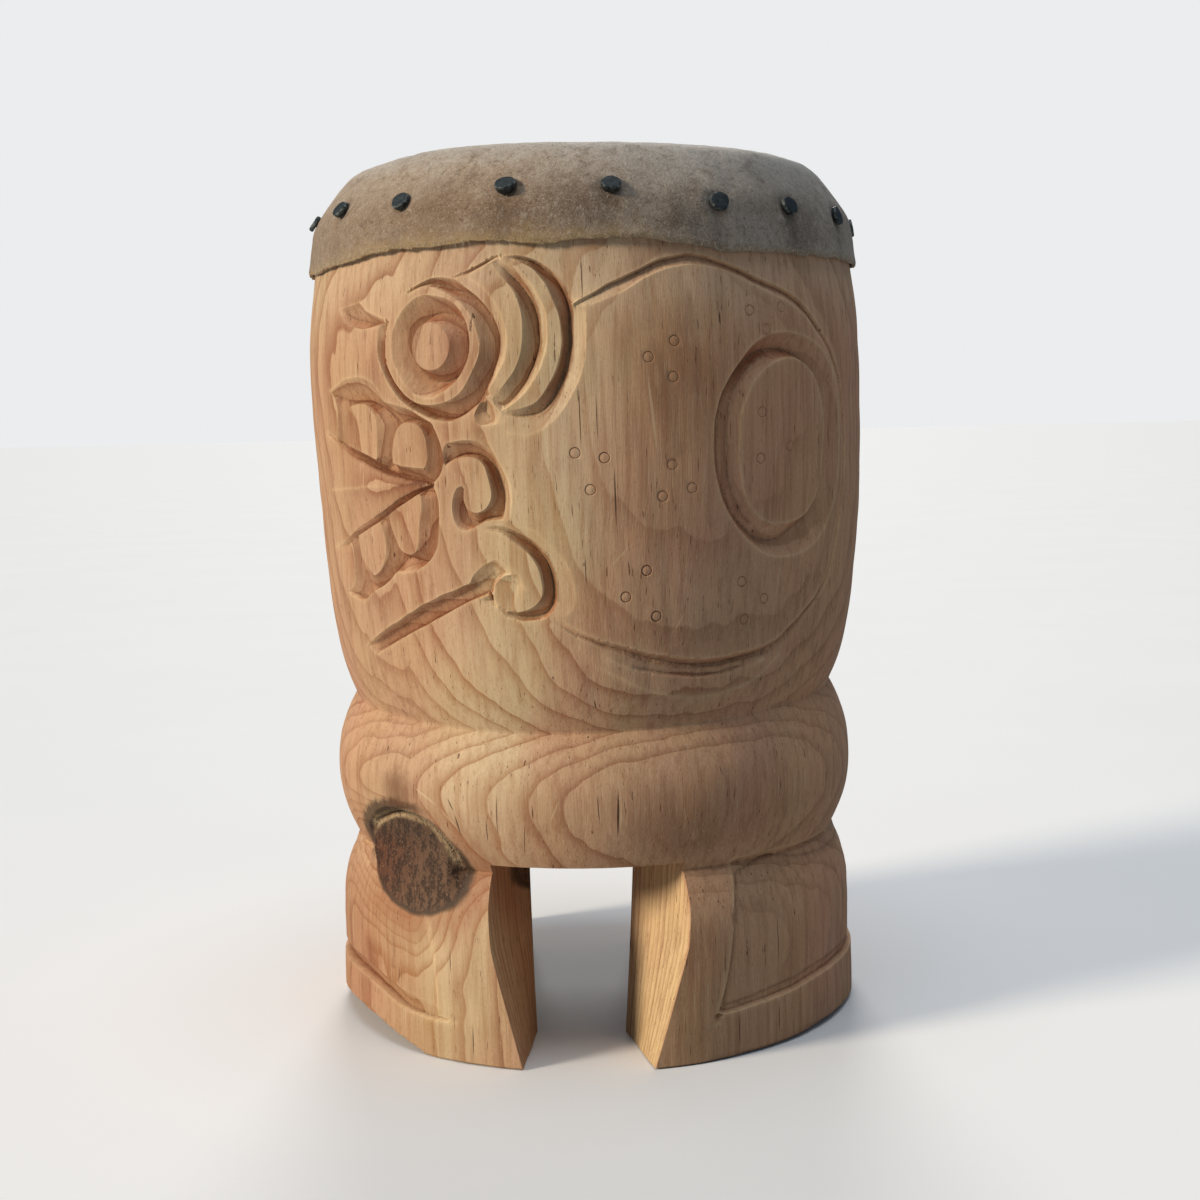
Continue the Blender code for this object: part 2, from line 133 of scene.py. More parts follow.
def skin(u, z):
    """Radius of the log's skin, before carving: the turned profile, a little fuller on the right,
    plus slow unevenness and the shallow marks of the gouge. The dead knot is one flat face, which
    bridges the groove over the left leg."""
    place = around(u, z, GIRTH)
    uneven = 0.45 * noise(place, 48, 3) + 0.16 * noise(place, 15, 4)
    fuller = 1.4 * np.sin(u / GIRTH) * np.exp(-((z - 270) / 60) ** 2)
    marks = 0.34 * scallops(u + 0.18 * z, z, 17, 30, 5)
    radius = profile(z + waist_shift(u, z))
    upright = (z - KNOT_Z) / KNOT_HIGH
    across = (u - KNOT_U) / KNOT_WIDE + KNOT_SLANT * np.minimum(upright, 0)
    face = np.clip((1.04 - np.hypot(across, upright)) / 0.2, 0, 1)
    radius = radius + (KNOT_FACE + KNOT_FALL * (122 - z) - radius) * face ** 2 * (3 - 2 * face)
    return radius + uneven + fuller - marks


# ================================================================ crease lines of the carving

def curve(points, closed=False, step=1.7):
    """A Catmull-Rom curve through the points, with a new point about every step mm."""
    p = np.array(points, float)
    if closed:
        ends = np.vstack([p[-1:], p, p[:2]])
    else:
        ends = np.vstack([2 * p[:1] - p[1:2], p, 2 * p[-1:] - p[-2:-1]])
    made = []
    for a, b, c, d in zip(ends, ends[1:], ends[2:], ends[3:]):
        t = np.linspace(0, 1, max(int(np.hypot(*(c - b)) / step), 1), endpoint=False)[:, None]
        made.append(0.5 * (2 * b + (c - a) * t + (2 * a - 5 * b + 4 * c - d) * t ** 2
                           + (3 * b - a - 3 * c + d) * t ** 3))
    if not closed:
        made.append(p[-1:])
    return np.vstack(made)


def run_along(line):
    """Length along a line at each of its points."""
    return np.concatenate([[0], np.cumsum(np.linalg.norm(np.diff(line, axis=0), axis=1))])


def crease(depths, points, closed=False):
    """A crease line as rows of (u, z, depth), its depths spread evenly along its length."""
    line = curve(points, closed)
    if closed:
        line = np.vstack([line, line[:1]])
    run = run_along(line)
    depth = np.interp(run / run[-1], np.linspace(0, 1, len(depths)), depths)
    return np.column_stack([line, depth])


def vee(depths, points, left, right):
    """A cut of V section along a line: its bottom, and its two edges that lie left and right of it."""
    bottom = crease(depths, points)
    along = np.gradient(bottom[:, :2], axis=0)
    along /= np.hypot(*along.T)[:, None]
    aside = np.column_stack([-along[:, 1], along[:, 0]])
    edges = [np.column_stack([bottom[1:-1, :2] + aside[1:-1] * width, 0 * bottom[1:-1, 2]])
             for width in (left, -right)]
    return [bottom] + edges


def oval(u, z, ru, rz):
    """Fourteen points round an ellipse."""
    a = np.arange(14) * 2 * math.pi / 14
    return np.column_stack([u + ru * np.cos(a), z + rz * np.sin(a)])


EYE_RING = [                      # u and z of the outer ring of the eye
    (-102, 358), (-101, 366), (-98, 372), (-93, 377.5), (-87, 381.5), (-80, 382.5), (-72, 381.5),
    (-66, 379.5), (-61, 375), (-57.5, 369), (-55.6, 362), (-55.6, 355), (-57.5, 349), (-61, 343.5),
    (-65.5, 339), (-71, 335.3), (-77, 333), (-84, 333.5), (-89, 336), (-94, 341), (-98, 346), (-101, 352)]

CREASES = [
    # the eye: its ring, the hollow inside it and the pupil
    crease([0.2], EYE_RING, True),
    crease([6.2, 5.6, 5, 5.6, 6.2], oval(-73.6, 357.4, 16.4, 16.6), True),
    crease([0.7], [(-88.7, 357), (-87.6, 363), (-84, 367.6), (-78.5, 369.3), (-72.5, 367.5), (-68.5, 363.6),
        (-66.8, 358.5), (-68, 352.5), (-71.5, 348.3), (-76.5, 346.5), (-82, 347.6), (-86.5, 351.3)], True),
    # the trough outside the ring, which starts behind the nose and runs under it and up its right side
    crease([0, 0, 0, 0, 0, 0, 0, 0.3, 1.3, 1.4, 1.3, 1, 0.4, 0, 0, 0, 0], [(-103.5, 371.5), (-108, 370),
        (-111.5, 367.5), (-112, 360), (-111, 353), (-108.5, 348), (-105, 342), (-101, 337), (-97, 333),
        (-92, 329.5), (-86, 326.5), (-79, 323.5), (-72, 322), (-66, 322), (-60, 324.5), (-55, 327.8),
        (-50, 331.8), (-48, 334.5), (-46.5, 339), (-43.6, 345), (-41, 352), (-40, 358), (-40.5, 364),
        (-43, 370), (-47, 375.5), (-52, 381), (-57, 385), (-62, 388.5), (-68, 390), (-75, 390.5),
        (-82, 389), (-88, 386.8), (-92, 384.4)]),
    crease([1.2, 4.2, 4.8, 4.4, 4.6, 4.8, 4.8, 4.8, 5, 5, 4.8, 4.2, 3.6, 2.6, 0.5], [(-104, 371),
        (-106, 367), (-107.3, 360), (-107, 355), (-105.8, 350), (-103.3, 345), (-100, 339.6), (-96, 335),
        (-91.5, 331), (-86, 328), (-79, 325.2), (-72, 323.8), (-66, 323.8), (-60, 326.3), (-55, 329.5),
        (-50.8, 334), (-48.2, 339.5), (-45.3, 345), (-42.4, 352), (-41.4, 358), (-42, 364), (-44.4, 370),
        (-48.5, 375.4), (-53.5, 380), (-59, 383), (-66, 385.2), (-73, 387.2), (-80, 387.9), (-86, 386.8),
        (-91, 384.4)]),
    crease([0.2], [(-104, 370), (-105.6, 365), (-106.2, 358), (-105.8, 352), (-104, 348), (-100, 341.3),
        (-95, 336.2), (-90, 332.4), (-84, 330.6), (-77, 330), (-70, 331), (-64, 333.5), (-60, 337),
        (-55, 344), (-52, 350), (-50.5, 356), (-51, 362), (-53, 368), (-57, 374), (-62, 379), (-68, 382.7),
        (-74, 385.2), (-80, 386.3), (-86, 385.6), (-91, 383.2)]),
    # two crescents beside the eye: bevel, cut, bevel, cut, bevel
    crease([0.2, 0, 0, 0, 0.2], [(-45.8, 337), (-42, 342.5), (-38.3, 349), (-36.4, 356), (-36.4, 363),
        (-38.2, 369.5), (-41.6, 376), (-46, 382), (-51, 386.6), (-56.5, 389.6)]),
    crease([0.3], [(-45, 395.5), (-40, 390.5), (-36, 386), (-32, 380), (-30, 374), (-29, 367), (-29, 360),
        (-30, 353), (-32.5, 347), (-36, 341.5), (-41, 336), (-44.5, 332.8)]),
    crease([0.5, 3.5, 4.6, 5, 5, 4.6, 3.8, 1.2], [(-42, 396.2), (-38, 393), (-33, 388), (-28, 382),
        (-24, 375), (-21.8, 367), (-21.5, 360), (-22.5, 353), (-25, 346), (-29, 339), (-34, 333),
        (-38.5, 329.2), (-42, 330)]),
    crease([0.2, 1, 1.3, 1.4, 1.3, 1, 0.3], [(-40, 397), (-35, 393.5), (-30, 389), (-25.7, 383),
        (-22.3, 376), (-20.3, 368), (-20, 360), (-21, 353), (-23.5, 346), (-27.3, 339), (-32, 333),
        (-36.5, 328.6), (-39.6, 326)]),
    crease([0], [(-38, 397), (-32, 393.3), (-26.3, 388), (-21.3, 381), (-18, 374), (-16.7, 367),
        (-16.7, 360), (-17.7, 353), (-20.2, 346), (-24, 339.5), (-29, 333.5), (-34, 329.6),
        (-37.6, 327.2)]),
    crease([0.3], [(-33, 397.2), (-27, 394.5), (-22, 391), (-17.5, 385), (-14, 378), (-11.5, 371),
        (-10.3, 364), (-10.3, 357), (-11.5, 350), (-14, 343), (-17.5, 337), (-21, 332), (-25, 329),
        (-30, 327.5), (-36, 326.6)]),
    crease([0.5, 4, 5, 5.4, 5.4, 5, 4.6, 3.5, 0.6], [(-36, 398.2), (-28, 397.2), (-22, 395), (-16, 390.5),
        (-11, 385), (-7.6, 378), (-6.4, 372), (-6.2, 365), (-6.5, 357), (-7.7, 349), (-10.2, 341),
        (-14, 333.7), (-18, 328.2), (-22, 325.2), (-27, 323.7), (-33, 324), (-38, 325)]),
    crease([0, 0, 0.6, 2, 2.2, 2, 1.8, 1, 0.2], [(-38, 399), (-30, 399), (-22, 396.6), (-15, 392),
        (-9.8, 385.7), (-6.4, 378.5), (-5, 372), (-4.7, 365), (-5, 357), (-6.2, 349), (-8.7, 341),
        (-12.5, 333), (-16.7, 327), (-21.2, 323.5), (-27, 322.2), (-33, 322.5), (-38.5, 324)]),
    crease([0], [(1.2, 374.2), (2, 368), (1.8, 360), (0.8, 350), (-1.5, 341), (-5, 334), (-9, 327.5),
        (-14, 321.5), (-21, 316.8), (-29, 314.5), (-38, 316)]),
    *vee([0.2, 1.3, 1.3, 0.2], [(-65, 389.6), (-58, 391.8), (-50, 395.3), (-43, 398.4), (-37, 399.6)], 0.9,
        1.4),
    # the scoop under the crescents
    crease([0.2, 0], [(-47.4, 333), (-44, 329.6), (-40.3, 325.6)]),
    crease([1.2, 2.4, 1.6], [(-47.6, 330.6), (-48.6, 326), (-46.5, 323)]),
    crease([0], [(-50.5, 331), (-54, 324), (-52, 319.8), (-45, 319.3), (-38, 321.5)]),
    # the nostril
    crease([0], [(-147, 379.4), (-139, 380.3), (-130, 381), (-126, 382), (-122, 378), (-117, 376),
        (-111, 373.6), (-106, 372)]),
    crease([0.2, 2.6, 3.6, 3.6, 2.6, 0.8], [(-145, 378.8), (-139, 376), (-134, 373.6), (-127, 372.4),
        (-121, 371.2), (-115, 370.9), (-109, 370.9), (-105, 371.2)]),
    crease([0.1, 0.5, 0.6, 0.2], [(-145.5, 378), (-141, 373.3), (-137, 371), (-131, 369.3), (-125, 368),
        (-118, 368.8), (-112.5, 369.4)]),
    # the upper mouth: the lip's edge, the valleys round the teeth, the teeth
    crease([0], [(-154, 313.6), (-152.2, 320), (-151.6, 327), (-152.8, 333), (-156, 337.3), (-160, 339)]),
    crease([0], [(-160, 339.3), (-154, 340), (-147, 342.3), (-140, 344.2), (-130, 345), (-122, 344),
        (-116, 341), (-112, 336.8), (-108.3, 332.6), (-104, 331), (-99, 330.4), (-94, 328.8), (-89, 327),
        (-84, 324.3), (-78, 321.6)]),
    crease([0.2, 3, 4.2], [(-157, 337.6), (-150, 334.6), (-141.4, 332.4)]),
    crease([4.2, 4.2, 4.4, 4.8], [(-141.4, 332.4), (-136, 332.7), (-128, 332.6), (-121, 331.8),
        (-114, 329.6), (-107.5, 325.5), (-102, 321.2)]),
    crease([4.2, 4.2, 4.4], [(-141.4, 332.4), (-143.2, 325), (-143.3, 318), (-143.6, 309.6)]),
    crease([4.8, 4.2, 4.4, 5, 5.2, 5], [(-102, 321.2), (-97, 322.9), (-91, 323.3), (-86, 322), (-81, 319.4),
        (-77, 315), (-74.7, 309), (-73.8, 303.6), (-75.6, 297.6), (-79.6, 293.4)]),
    crease([4.8, 4.8, 5], [(-102, 321.2), (-104.8, 315), (-106.2, 308), (-106.6, 298.2)]),
    crease([0.5], [(-142, 311.3), (-142, 318), (-141.8, 325), (-140, 329.5), (-136, 331.2), (-130, 331.3),
        (-124, 331), (-119.5, 328.5), (-116, 323.5), (-115.3, 318), (-116, 311), (-117.5, 303.8)]),
    crease([0.5], [(-105, 302), (-104.7, 308), (-103.2, 314), (-100.5, 318.6), (-97, 321), (-91, 321.5),
        (-86, 319.9), (-83.3, 316), (-82.2, 310), (-82, 304), (-84, 299.2)]),
    crease([0.5], [(-142, 311.3), (-130, 307.6), (-117.5, 303.8)]),
    crease([0.5], [(-105, 302), (-95, 300.3), (-84, 299.2)]),
    crease([0], [(-78, 321.6), (-75.3, 316), (-73.2, 310), (-72.2, 304), (-72.6, 300), (-74.6, 296),
        (-78.2, 292.6)]),
    # the tongue between the rows of teeth: a low wedge with a cut above and below it
    crease([0.1, 2.4, 3.6, 4.4, 4.8, 5, 5], [(-168, 317), (-160, 314.5), (-150, 311), (-140, 307),
        (-130, 304.2), (-120, 300.8), (-112, 298.2), (-105, 296.7), (-97, 295.2), (-88, 293.7),
        (-80, 292.3)]),
    crease([0, 0.2], [(-167, 317.8), (-160, 316), (-154, 313.6)]),
    crease([0, 0.7, 1, 1.2, 1.6, 2.2, 3.2], [(-168, 316.2), (-160, 313.4), (-150, 309.6), (-140, 305.6),
        (-130, 302.8), (-120, 299.4), (-112, 296.8), (-104, 295.2), (-96, 293.8), (-87, 292.6)]),
    crease([0, 0, 0, 0.3, 1.2, 3.2], [(-170, 288), (-150, 288.7), (-125, 290), (-105, 291), (-87, 292)]),
    crease([0, 0.4, 0.8, 1.2, 1.6, 3.2], [(-172, 259), (-160, 260.4), (-150, 264.3), (-140, 268.8),
        (-130, 272.6), (-120, 276.7), (-110, 281.1), (-100, 285.7), (-90, 289.6), (-85, 291.2)]),
    crease([0, 1.4, 2.4, 3.2, 4, 5], [(-172, 257.6), (-160, 258.5), (-150, 261.9), (-140, 266.3),
        (-130, 270), (-120, 274), (-110, 278.4), (-100, 283.2), (-90, 287.8), (-80.5, 291.4)]),
    # the lower mouth
    crease([0], [(-150, 260.8), (-147.5, 257.6), (-146.8, 252), (-147.3, 246), (-149, 240.5), (-153, 237.2),
        (-158.5, 235.6)]),
    crease([3, 3.6, 4, 4.2], [(-141.7, 264.7), (-141.3, 258), (-140.4, 251), (-140, 245), (-140.2, 238),
        (-140.4, 233)]),
    crease([0.3, 2.6, 4.2, 4.4, 4.8, 4.6, 4.2, 4.6, 5, 5, 5], [(-157.5, 235), (-151, 234.5), (-145, 233.8),
        (-140.4, 233), (-136, 235.2), (-129, 238.8), (-121, 241.5), (-114.5, 245.6), (-109.5, 250.2),
        (-105.3, 253.8), (-101, 255.2), (-95, 253.8), (-90, 253.2), (-85.5, 255.6), (-82, 259.4),
        (-79.7, 264), (-79, 270), (-78, 277), (-78, 284), (-80, 290.2)]),
    crease([0], [(-158.5, 234.4), (-152, 232.6), (-146, 231.6), (-140.8, 231), (-136.5, 233),
        (-129.5, 236.8), (-121.5, 239.6), (-114, 243.4), (-108.5, 247.6), (-104, 247), (-98, 247.6),
        (-92, 249.4), (-87.5, 251.5), (-83.6, 254.3), (-80.4, 258.3), (-78.3, 263), (-77.4, 270),
        (-76.5, 277), (-76.5, 284.5), (-78.6, 290.8)]),
    crease([0.5], [(-140, 264.8), (-139.6, 258), (-138.3, 252), (-136, 248), (-131, 245.3), (-126, 246),
        (-121, 249), (-117.3, 254), (-115.5, 260), (-116.3, 266), (-118.5, 272.6)]),
    crease([0.5], [(-140, 264.8), (-130, 268.3), (-118.5, 272.6)]),
    crease([3.4, 4.2, 4.8, 4.8], [(-112.6, 276), (-111.4, 269), (-108.7, 263), (-106.4, 258),
        (-105.3, 253.8)]),
    crease([0.5], [(-111, 276.2), (-109.8, 270), (-107, 263.5), (-104, 259.3), (-98.5, 256.9),
        (-93.5, 258.3), (-91.5, 262.5), (-91, 268), (-89, 275), (-87.6, 282), (-87.8, 286.8)]),
    crease([0.5], [(-111, 276.2), (-100, 281.6), (-87.8, 286.8)]),
    # the upper curl
    crease([0, 0, 0.3, 1.6, 1.7, 1.2, 0.2], [(-71.5, 311), (-66, 312), (-60, 312.8), (-54, 312.3),
        (-49.5, 309.5), (-46, 304), (-43.3, 297.5), (-41, 291), (-40.3, 284), (-40.8, 278), (-42, 273.8)]),
    crease([2, 4.4, 4.8, 5, 5, 4.8, 4.6, 4, 4.2, 4.2, 1.6], [(-71.8, 302), (-66, 304.8), (-60, 306),
        (-54, 305.3), (-50, 303.3), (-47, 300.3), (-44.3, 295.3), (-42.7, 289.5), (-41.8, 284),
        (-42.3, 279), (-44, 276), (-48, 275.4), (-52.5, 274.4), (-57, 272.4), (-60.3, 273), (-62.7, 276.5),
        (-63.7, 281), (-63.4, 285.5), (-62.8, 289.3)]),
    crease([0.3], [(-71.8, 300), (-66, 303), (-60, 304.4), (-54.5, 303.6), (-51, 301), (-49.3, 297),
        (-47.8, 291), (-47.5, 286), (-49, 281.5), (-52, 278.7), (-55, 277.7), (-58.5, 278.6), (-61.2, 281),
        (-62.3, 284.5), (-62, 288), (-61.5, 290.2)]),
    crease([0.2], [(-42.6, 273.6), (-48, 273.8), (-52.5, 272.7), (-57, 270.3), (-61, 268.9), (-65, 269.7),
        (-68, 273.5), (-69.2, 279), (-68, 285.5), (-65.5, 290), (-62.4, 291)]),
    crease([0], [(-47, 310.5), (-43, 303), (-39, 296.5), (-36.8, 290), (-36.3, 283), (-37.5, 277),
        (-40.2, 272.8)]),
    # the lower curl and the long cut of the jaw
    crease([0.3], [(-52, 269), (-47, 268.3), (-42, 266.8), (-38, 264.3), (-33, 261), (-29, 257.3),
        (-25.5, 252), (-23.8, 246), (-22.8, 240), (-24, 236), (-28, 232), (-33, 230), (-39, 229),
        (-44, 229.8)]),
    crease([0.3, 1.6, 3.6, 4.6, 5, 5, 4.8, 4.4, 3.4, 2, 0.3], [(-51, 270), (-45, 269.6), (-40.5, 268.4),
        (-35.5, 266.4), (-29.5, 263), (-24, 257.8), (-20.5, 252.2), (-18.5, 246), (-17.7, 240),
        (-18.5, 234), (-21.2, 229.6), (-25, 227.7), (-31, 226.8), (-37, 227.4), (-42, 229), (-46, 231.4)]),
    crease([0.2, 0.2, 0.6, 1.3, 1.4, 1, 0.2, 0, 0], [(-50, 271.4), (-44, 271.5), (-39.6, 270.6),
        (-34.6, 268.4), (-28.2, 264.8), (-22.4, 259.2), (-18.6, 253), (-16.5, 246.5), (-15.7, 240),
        (-16.5, 233), (-19.8, 227.4), (-24, 225.4), (-31, 224.6), (-38, 225.4), (-43, 227), (-47, 229.8)]),
    crease([0], [(-33, 271), (-26, 268.4), (-19, 262.5), (-12.5, 255.5), (-8.5, 248), (-7, 240),
        (-7.6, 232), (-12, 226.6)]),
    crease([0], [(-144, 208.5), (-130, 214.5), (-115, 221), (-102, 227), (-90, 232.5), (-79, 237),
        (-68, 241), (-61, 243.8), (-59.6, 246.7), (-56, 250), (-51.5, 253), (-46, 255), (-42, 252.6),
        (-38.6, 250)]),
    crease([0.4, 2.2, 2.4, 2.4, 2.2, 2.8, 2], [(-142.5, 207.4), (-130, 211.8), (-115, 218), (-102, 223.9),
        (-90, 229.2), (-80, 233.3), (-71, 236.6), (-63, 239.6), (-58, 242.3), (-53, 245.6), (-48, 248.6)]),
    crease([0.6, 4, 4.4, 4.4, 4.4, 4.4, 4.4, 4.4, 3.8, 1.2], [(-136.5, 205.6), (-120, 211.9), (-100, 219.4),
        (-86, 225.2), (-72, 231.3), (-57, 237.4), (-51.6, 240.4), (-50.2, 243.6), (-46.6, 247.2),
        (-43, 249)]),
    crease([0], [(-134, 204), (-118, 210.3), (-99, 218), (-85, 224), (-71.5, 230), (-56.5, 235.9),
        (-50.6, 238)]),
    crease([0.3, 0.2, 0], [(-50.6, 238), (-48.6, 239.4), (-48, 242.3), (-45, 245.6), (-41.4, 247.4),
        (-38, 247.2)]),
    crease([3.6, 2.6, 1.4, 0.2], [(-51.4, 240.2), (-50.6, 237.4), (-49.8, 234.4), (-47.2, 231.2)]),
    crease([0], [(-48.4, 239), (-48.2, 235.6), (-46, 232.2)]),
    crease([0, 0], [(-38.6, 250.4), (-34.4, 247.6), (-31.6, 241)]),
    crease([0.4, 1.3, 0], [(-40, 248.3), (-37.8, 244.4), (-32.2, 241)]),
    crease([0], [(-144, 208.5), (-139, 205.6), (-134, 204)]),
    # the head plate: a bevel rising to it above, a stepped edge under it
    crease([0], [(-4, 375.6), (-1, 377.4), (4, 380), (12, 384.4), (20, 387.9), (30, 392.5), (40, 396.5),
        (50, 398.6), (60, 398.6), (70, 396), (80, 392.8), (90, 389.1), (100, 385.8), (110, 382.7),
        (120, 378.7), (130, 371.7), (139, 364.3)]),
    crease([0.8, 2.2, 2.4, 2.4, 2, 1.2], [(-4.6, 374), (-1, 376), (4, 378.8), (12, 383.1), (20, 386.5),
        (30, 391.1), (40, 395.1), (50, 397.1), (60, 397.1), (70, 394.6), (80, 391.4), (90, 387.8),
        (100, 384.5), (110, 381.5), (120, 377.4), (130, 370.4), (138.4, 363)]),
    crease([0], [(4.5, 374.5), (11, 376.8), (20, 381), (30, 386.6), (40, 390.5), (50, 392.7), (60, 393),
        (70, 391.2), (80, 387.9), (90, 384.2), (100, 380.6), (110, 377.2), (120, 373), (129, 366.8),
        (136, 360.4)]),
    *vee([1, 0.9, 0.8, 0.8, 1], [(138.4, 363), (146, 355.6), (153, 346.5), (158.5, 337), (162, 325),
        (164, 310), (164, 295), (162, 280), (158.5, 262), (154, 246), (149.5, 236.5), (141, 228)], 1.2,
        2.6),
    crease([1, 1.6, 2.2, 2.6, 2.6, 2.4, 1.6, 0.4], [(141, 228), (130, 220.5), (120, 214), (113, 209.3),
        (105, 206), (95, 203.9), (85, 202.4), (75, 201.3), (65, 200.8), (55, 201), (45, 202.3), (35, 204.3),
        (25, 206.8), (15, 210), (5, 213.5), (-5, 217.5), (-12, 221.5), (-19, 226)]),
    crease([0], [(139.5, 230.5), (128.5, 223), (118.5, 216.6), (111.6, 211.8), (104, 208.7), (94.5, 206.7),
        (85, 205.2), (75, 204.2), (65, 203.7), (55, 203.9), (45, 205.2), (35, 207.1), (25, 209.5),
        (15, 212.5), (5, 215.7), (-4, 219.3), (-11, 223)]),
    crease([0.2, 0.8, 1.2, 1.4, 1.4, 1.4, 0.8, 0], [(140, 226.4), (130, 218.9), (120.4, 212), (114, 207.4),
        (106, 203.9), (95.5, 201.8), (85, 200.4), (75, 199.3), (65, 198.8), (55, 199), (45, 200.3),
        (35, 202.2), (25, 204.8), (15, 208.2), (5, 212), (-5, 216), (-12, 220)]),
    crease([0.2, 1.4, 2, 2, 1.6, 0.4], [(100, 201), (90, 198.8), (80, 197), (70, 195.7), (60, 195.4),
        (50, 196), (40, 197.3), (30, 199.4), (20, 202.2), (11, 206.4)]),
    crease([0.1, 0.6, 0.8, 0.8, 0.6, 0.1], [(101, 199.6), (90, 197.2), (80, 195.2), (70, 193.8),
        (60, 193.4), (50, 194), (40, 195.4), (30, 197.6), (20, 200.6), (10, 205.4)]),
    crease([0], [(112, 201), (92, 189), (60, 184), (32, 188.5), (8, 200)]),
    # the ear
    crease([0], [(63, 308), (64, 320), (67, 330), (72, 339), (78.2, 347), (86, 355), (95, 360), (105, 362),
        (115, 361.6), (125, 359.6), (135, 355.6), (143, 350), (149.5, 342.5), (154, 333), (156.6, 322),
        (157.4, 310), (156.6, 296), (153.6, 282), (148.6, 271), (142, 262.6), (134, 257), (126, 253.6),
        (118, 251.6), (110, 250.9), (101, 251.6), (93, 254.2), (85.5, 259.2), (78.5, 266), (72.5, 273.3),
        (68, 281.4), (65, 290.5), (63.6, 300)], True),
    crease([3.6, 4, 4.8, 4.8, 4, 3, 2.6, 3, 3.6, 3.8, 3.6, 3.4, 3.6], [(66.6, 308), (67.4, 320),
        (70.4, 330), (75.4, 338.3), (81.4, 345.2), (88.4, 350.2), (95.6, 353), (103, 353.8), (111, 353.2),
        (120, 350.8), (128, 346.6), (135, 340), (140, 331.6), (143, 321), (144, 309), (143, 297),
        (140, 286), (135, 276.8), (128.5, 270.2), (121, 266.6), (114.6, 263.6), (108.4, 261), (102, 260),
        (95.4, 260.6), (88, 263.3), (81.4, 268.4), (76, 274.4), (71.4, 281.6), (68.4, 290.6), (67, 299.6)],
        True),
    crease([0], [(78.5, 305), (78.7, 315), (80.5, 325), (84.5, 333.5), (90, 340.5), (97, 345.5),
        (105, 348.3), (113, 349), (120, 347.5), (127, 343.5), (133, 337), (137, 328), (139, 317),
        (139, 305), (137.5, 293), (133.5, 282), (127.5, 274.5), (120, 270.3), (112, 268.6), (104, 268),
        (97, 268.8), (90.5, 272), (84.5, 277.5), (80.3, 286), (78.7, 295)], True),
    crease([1.8, 2.2, 2.2, 2, 2, 1.8], [(95, 350.4), (87.4, 346.4), (80.6, 339.8), (75, 330.8), (72, 319.6),
        (71.2, 307), (72, 295), (74.6, 284.6), (79.2, 275.6), (85.4, 269.4)]),
    # the legs: sunk panels over foot bands
    crease([0], [(-96, 70), (-93.6, 61), (-92, 46), (-91, 34), (-90.4, 26)]),
    crease([0.2, 0.9, 0.9], [(-98, 70), (-95.6, 61), (-94, 46), (-93, 34), (-92.6, 28)]),
    crease([1.2, 1.6, 1.4], [(-128, 64), (-126, 52), (-128, 40)]),
    crease([0.7, 1, 1.2, 1.4, 1.4, 1.6, 1.8], [(-91.5, 27.4), (-100, 28.6), (-110, 30.1), (-120, 31.8),
        (-130, 34.4), (-140, 37.2), (-150, 38.8), (-162, 39.8), (-180, 40), (-220, 38), (-300, 36),
        (-371, 37)]),
    crease([0.1, 4.4, 5, 5, 4.6, 4, 3.6], [(-79, 19.8), (-89, 21.6), (-100, 21.6), (-110, 22.4),
        (-120, 24.2), (-130, 27), (-140, 29.4), (-150, 31.4), (-162, 32.6), (-180, 32.8), (-220, 31.6),
        (-300, 30.6), (-371, 31)]),
    crease([0, 0.2, 0.3, 0.3, 0.3, 0.3, 0.3], [(-79, 18.9), (-89, 20), (-100, 20), (-110, 20.7),
        (-120, 22.5), (-130, 25.3), (-140, 27.7), (-150, 29.7), (-162, 30.9), (-180, 31.1), (-220, 29.9),
        (-300, 28.9), (-382, 29)]),
    crease([0], [(-79, 20.8), (-89.6, 23)]),
    crease([2.4], [(-371, 88), (-371, 60), (-371, 37)]),
    crease([0], [(-382, 92), (-382, 60), (-382, 29)]),
    crease([0.3, 1.6, 1.8, 1.8], [(-164, 89.5), (-200, 90), (-371, 88)]),
    crease([0], [(-163, 96), (-200, 96), (-382, 96)]),
    crease([0], [(80.6, 97), (79.6, 90), (78, 83), (76, 76), (75, 69), (74, 62), (72, 50), (70, 41),
        (67.4, 33), (65.2, 27), (63.6, 22), (62.4, 18)]),
    crease([2.2, 2.6, 2.6, 2.6, 2.4], [(83.4, 91.6), (80.4, 83), (78.2, 76), (77, 69), (76, 62), (74, 50),
        (72, 41), (69.6, 33), (67.4, 27.6), (65.4, 24.4)]),
    crease([2.4, 0.2], [(65.4, 24.4), (64.4, 21), (63.2, 18)]),
    crease([0.1, 0.1], [(66.4, 22.6), (64.6, 18)]),
    crease([2.2, 1.8, 1.8, 1.8, 1.8], [(83.4, 91.6), (87, 92.7), (93, 94), (101, 95.6), (110, 96.2),
        (120, 95.4), (131, 93.4), (150, 91), (200, 90), (371, 88)]),
    crease([2.6], [(67.4, 27.6), (76, 28.4), (90, 30), (100, 31), (111, 32), (130, 33.6), (150, 35),
        (170, 34.8), (210, 34.4), (300, 35), (371, 36)]),
    crease([2.6, 3.6, 3.8, 3.8], [(66.4, 24.8), (76, 25.4), (90, 26.4), (104, 27), (120, 28.2), (140, 29.8),
        (160, 30.4), (210, 30), (300, 30.4), (371, 31)]),
    crease([0.3], [(66.6, 23.2), (76, 23.8), (90, 24.8), (104, 25.4), (120, 26.6), (140, 28.2), (160, 28.8),
        (210, 28.4), (300, 28.8), (382, 29)]),
    crease([2.4], [(371, 88), (371, 60), (371, 36)]),
    crease([0], [(382, 92), (382, 60), (382, 29)]),
    crease([0], [(83, 99.4), (120, 99), (200, 97), (382, 96)]),
    # the gap round the dead knot
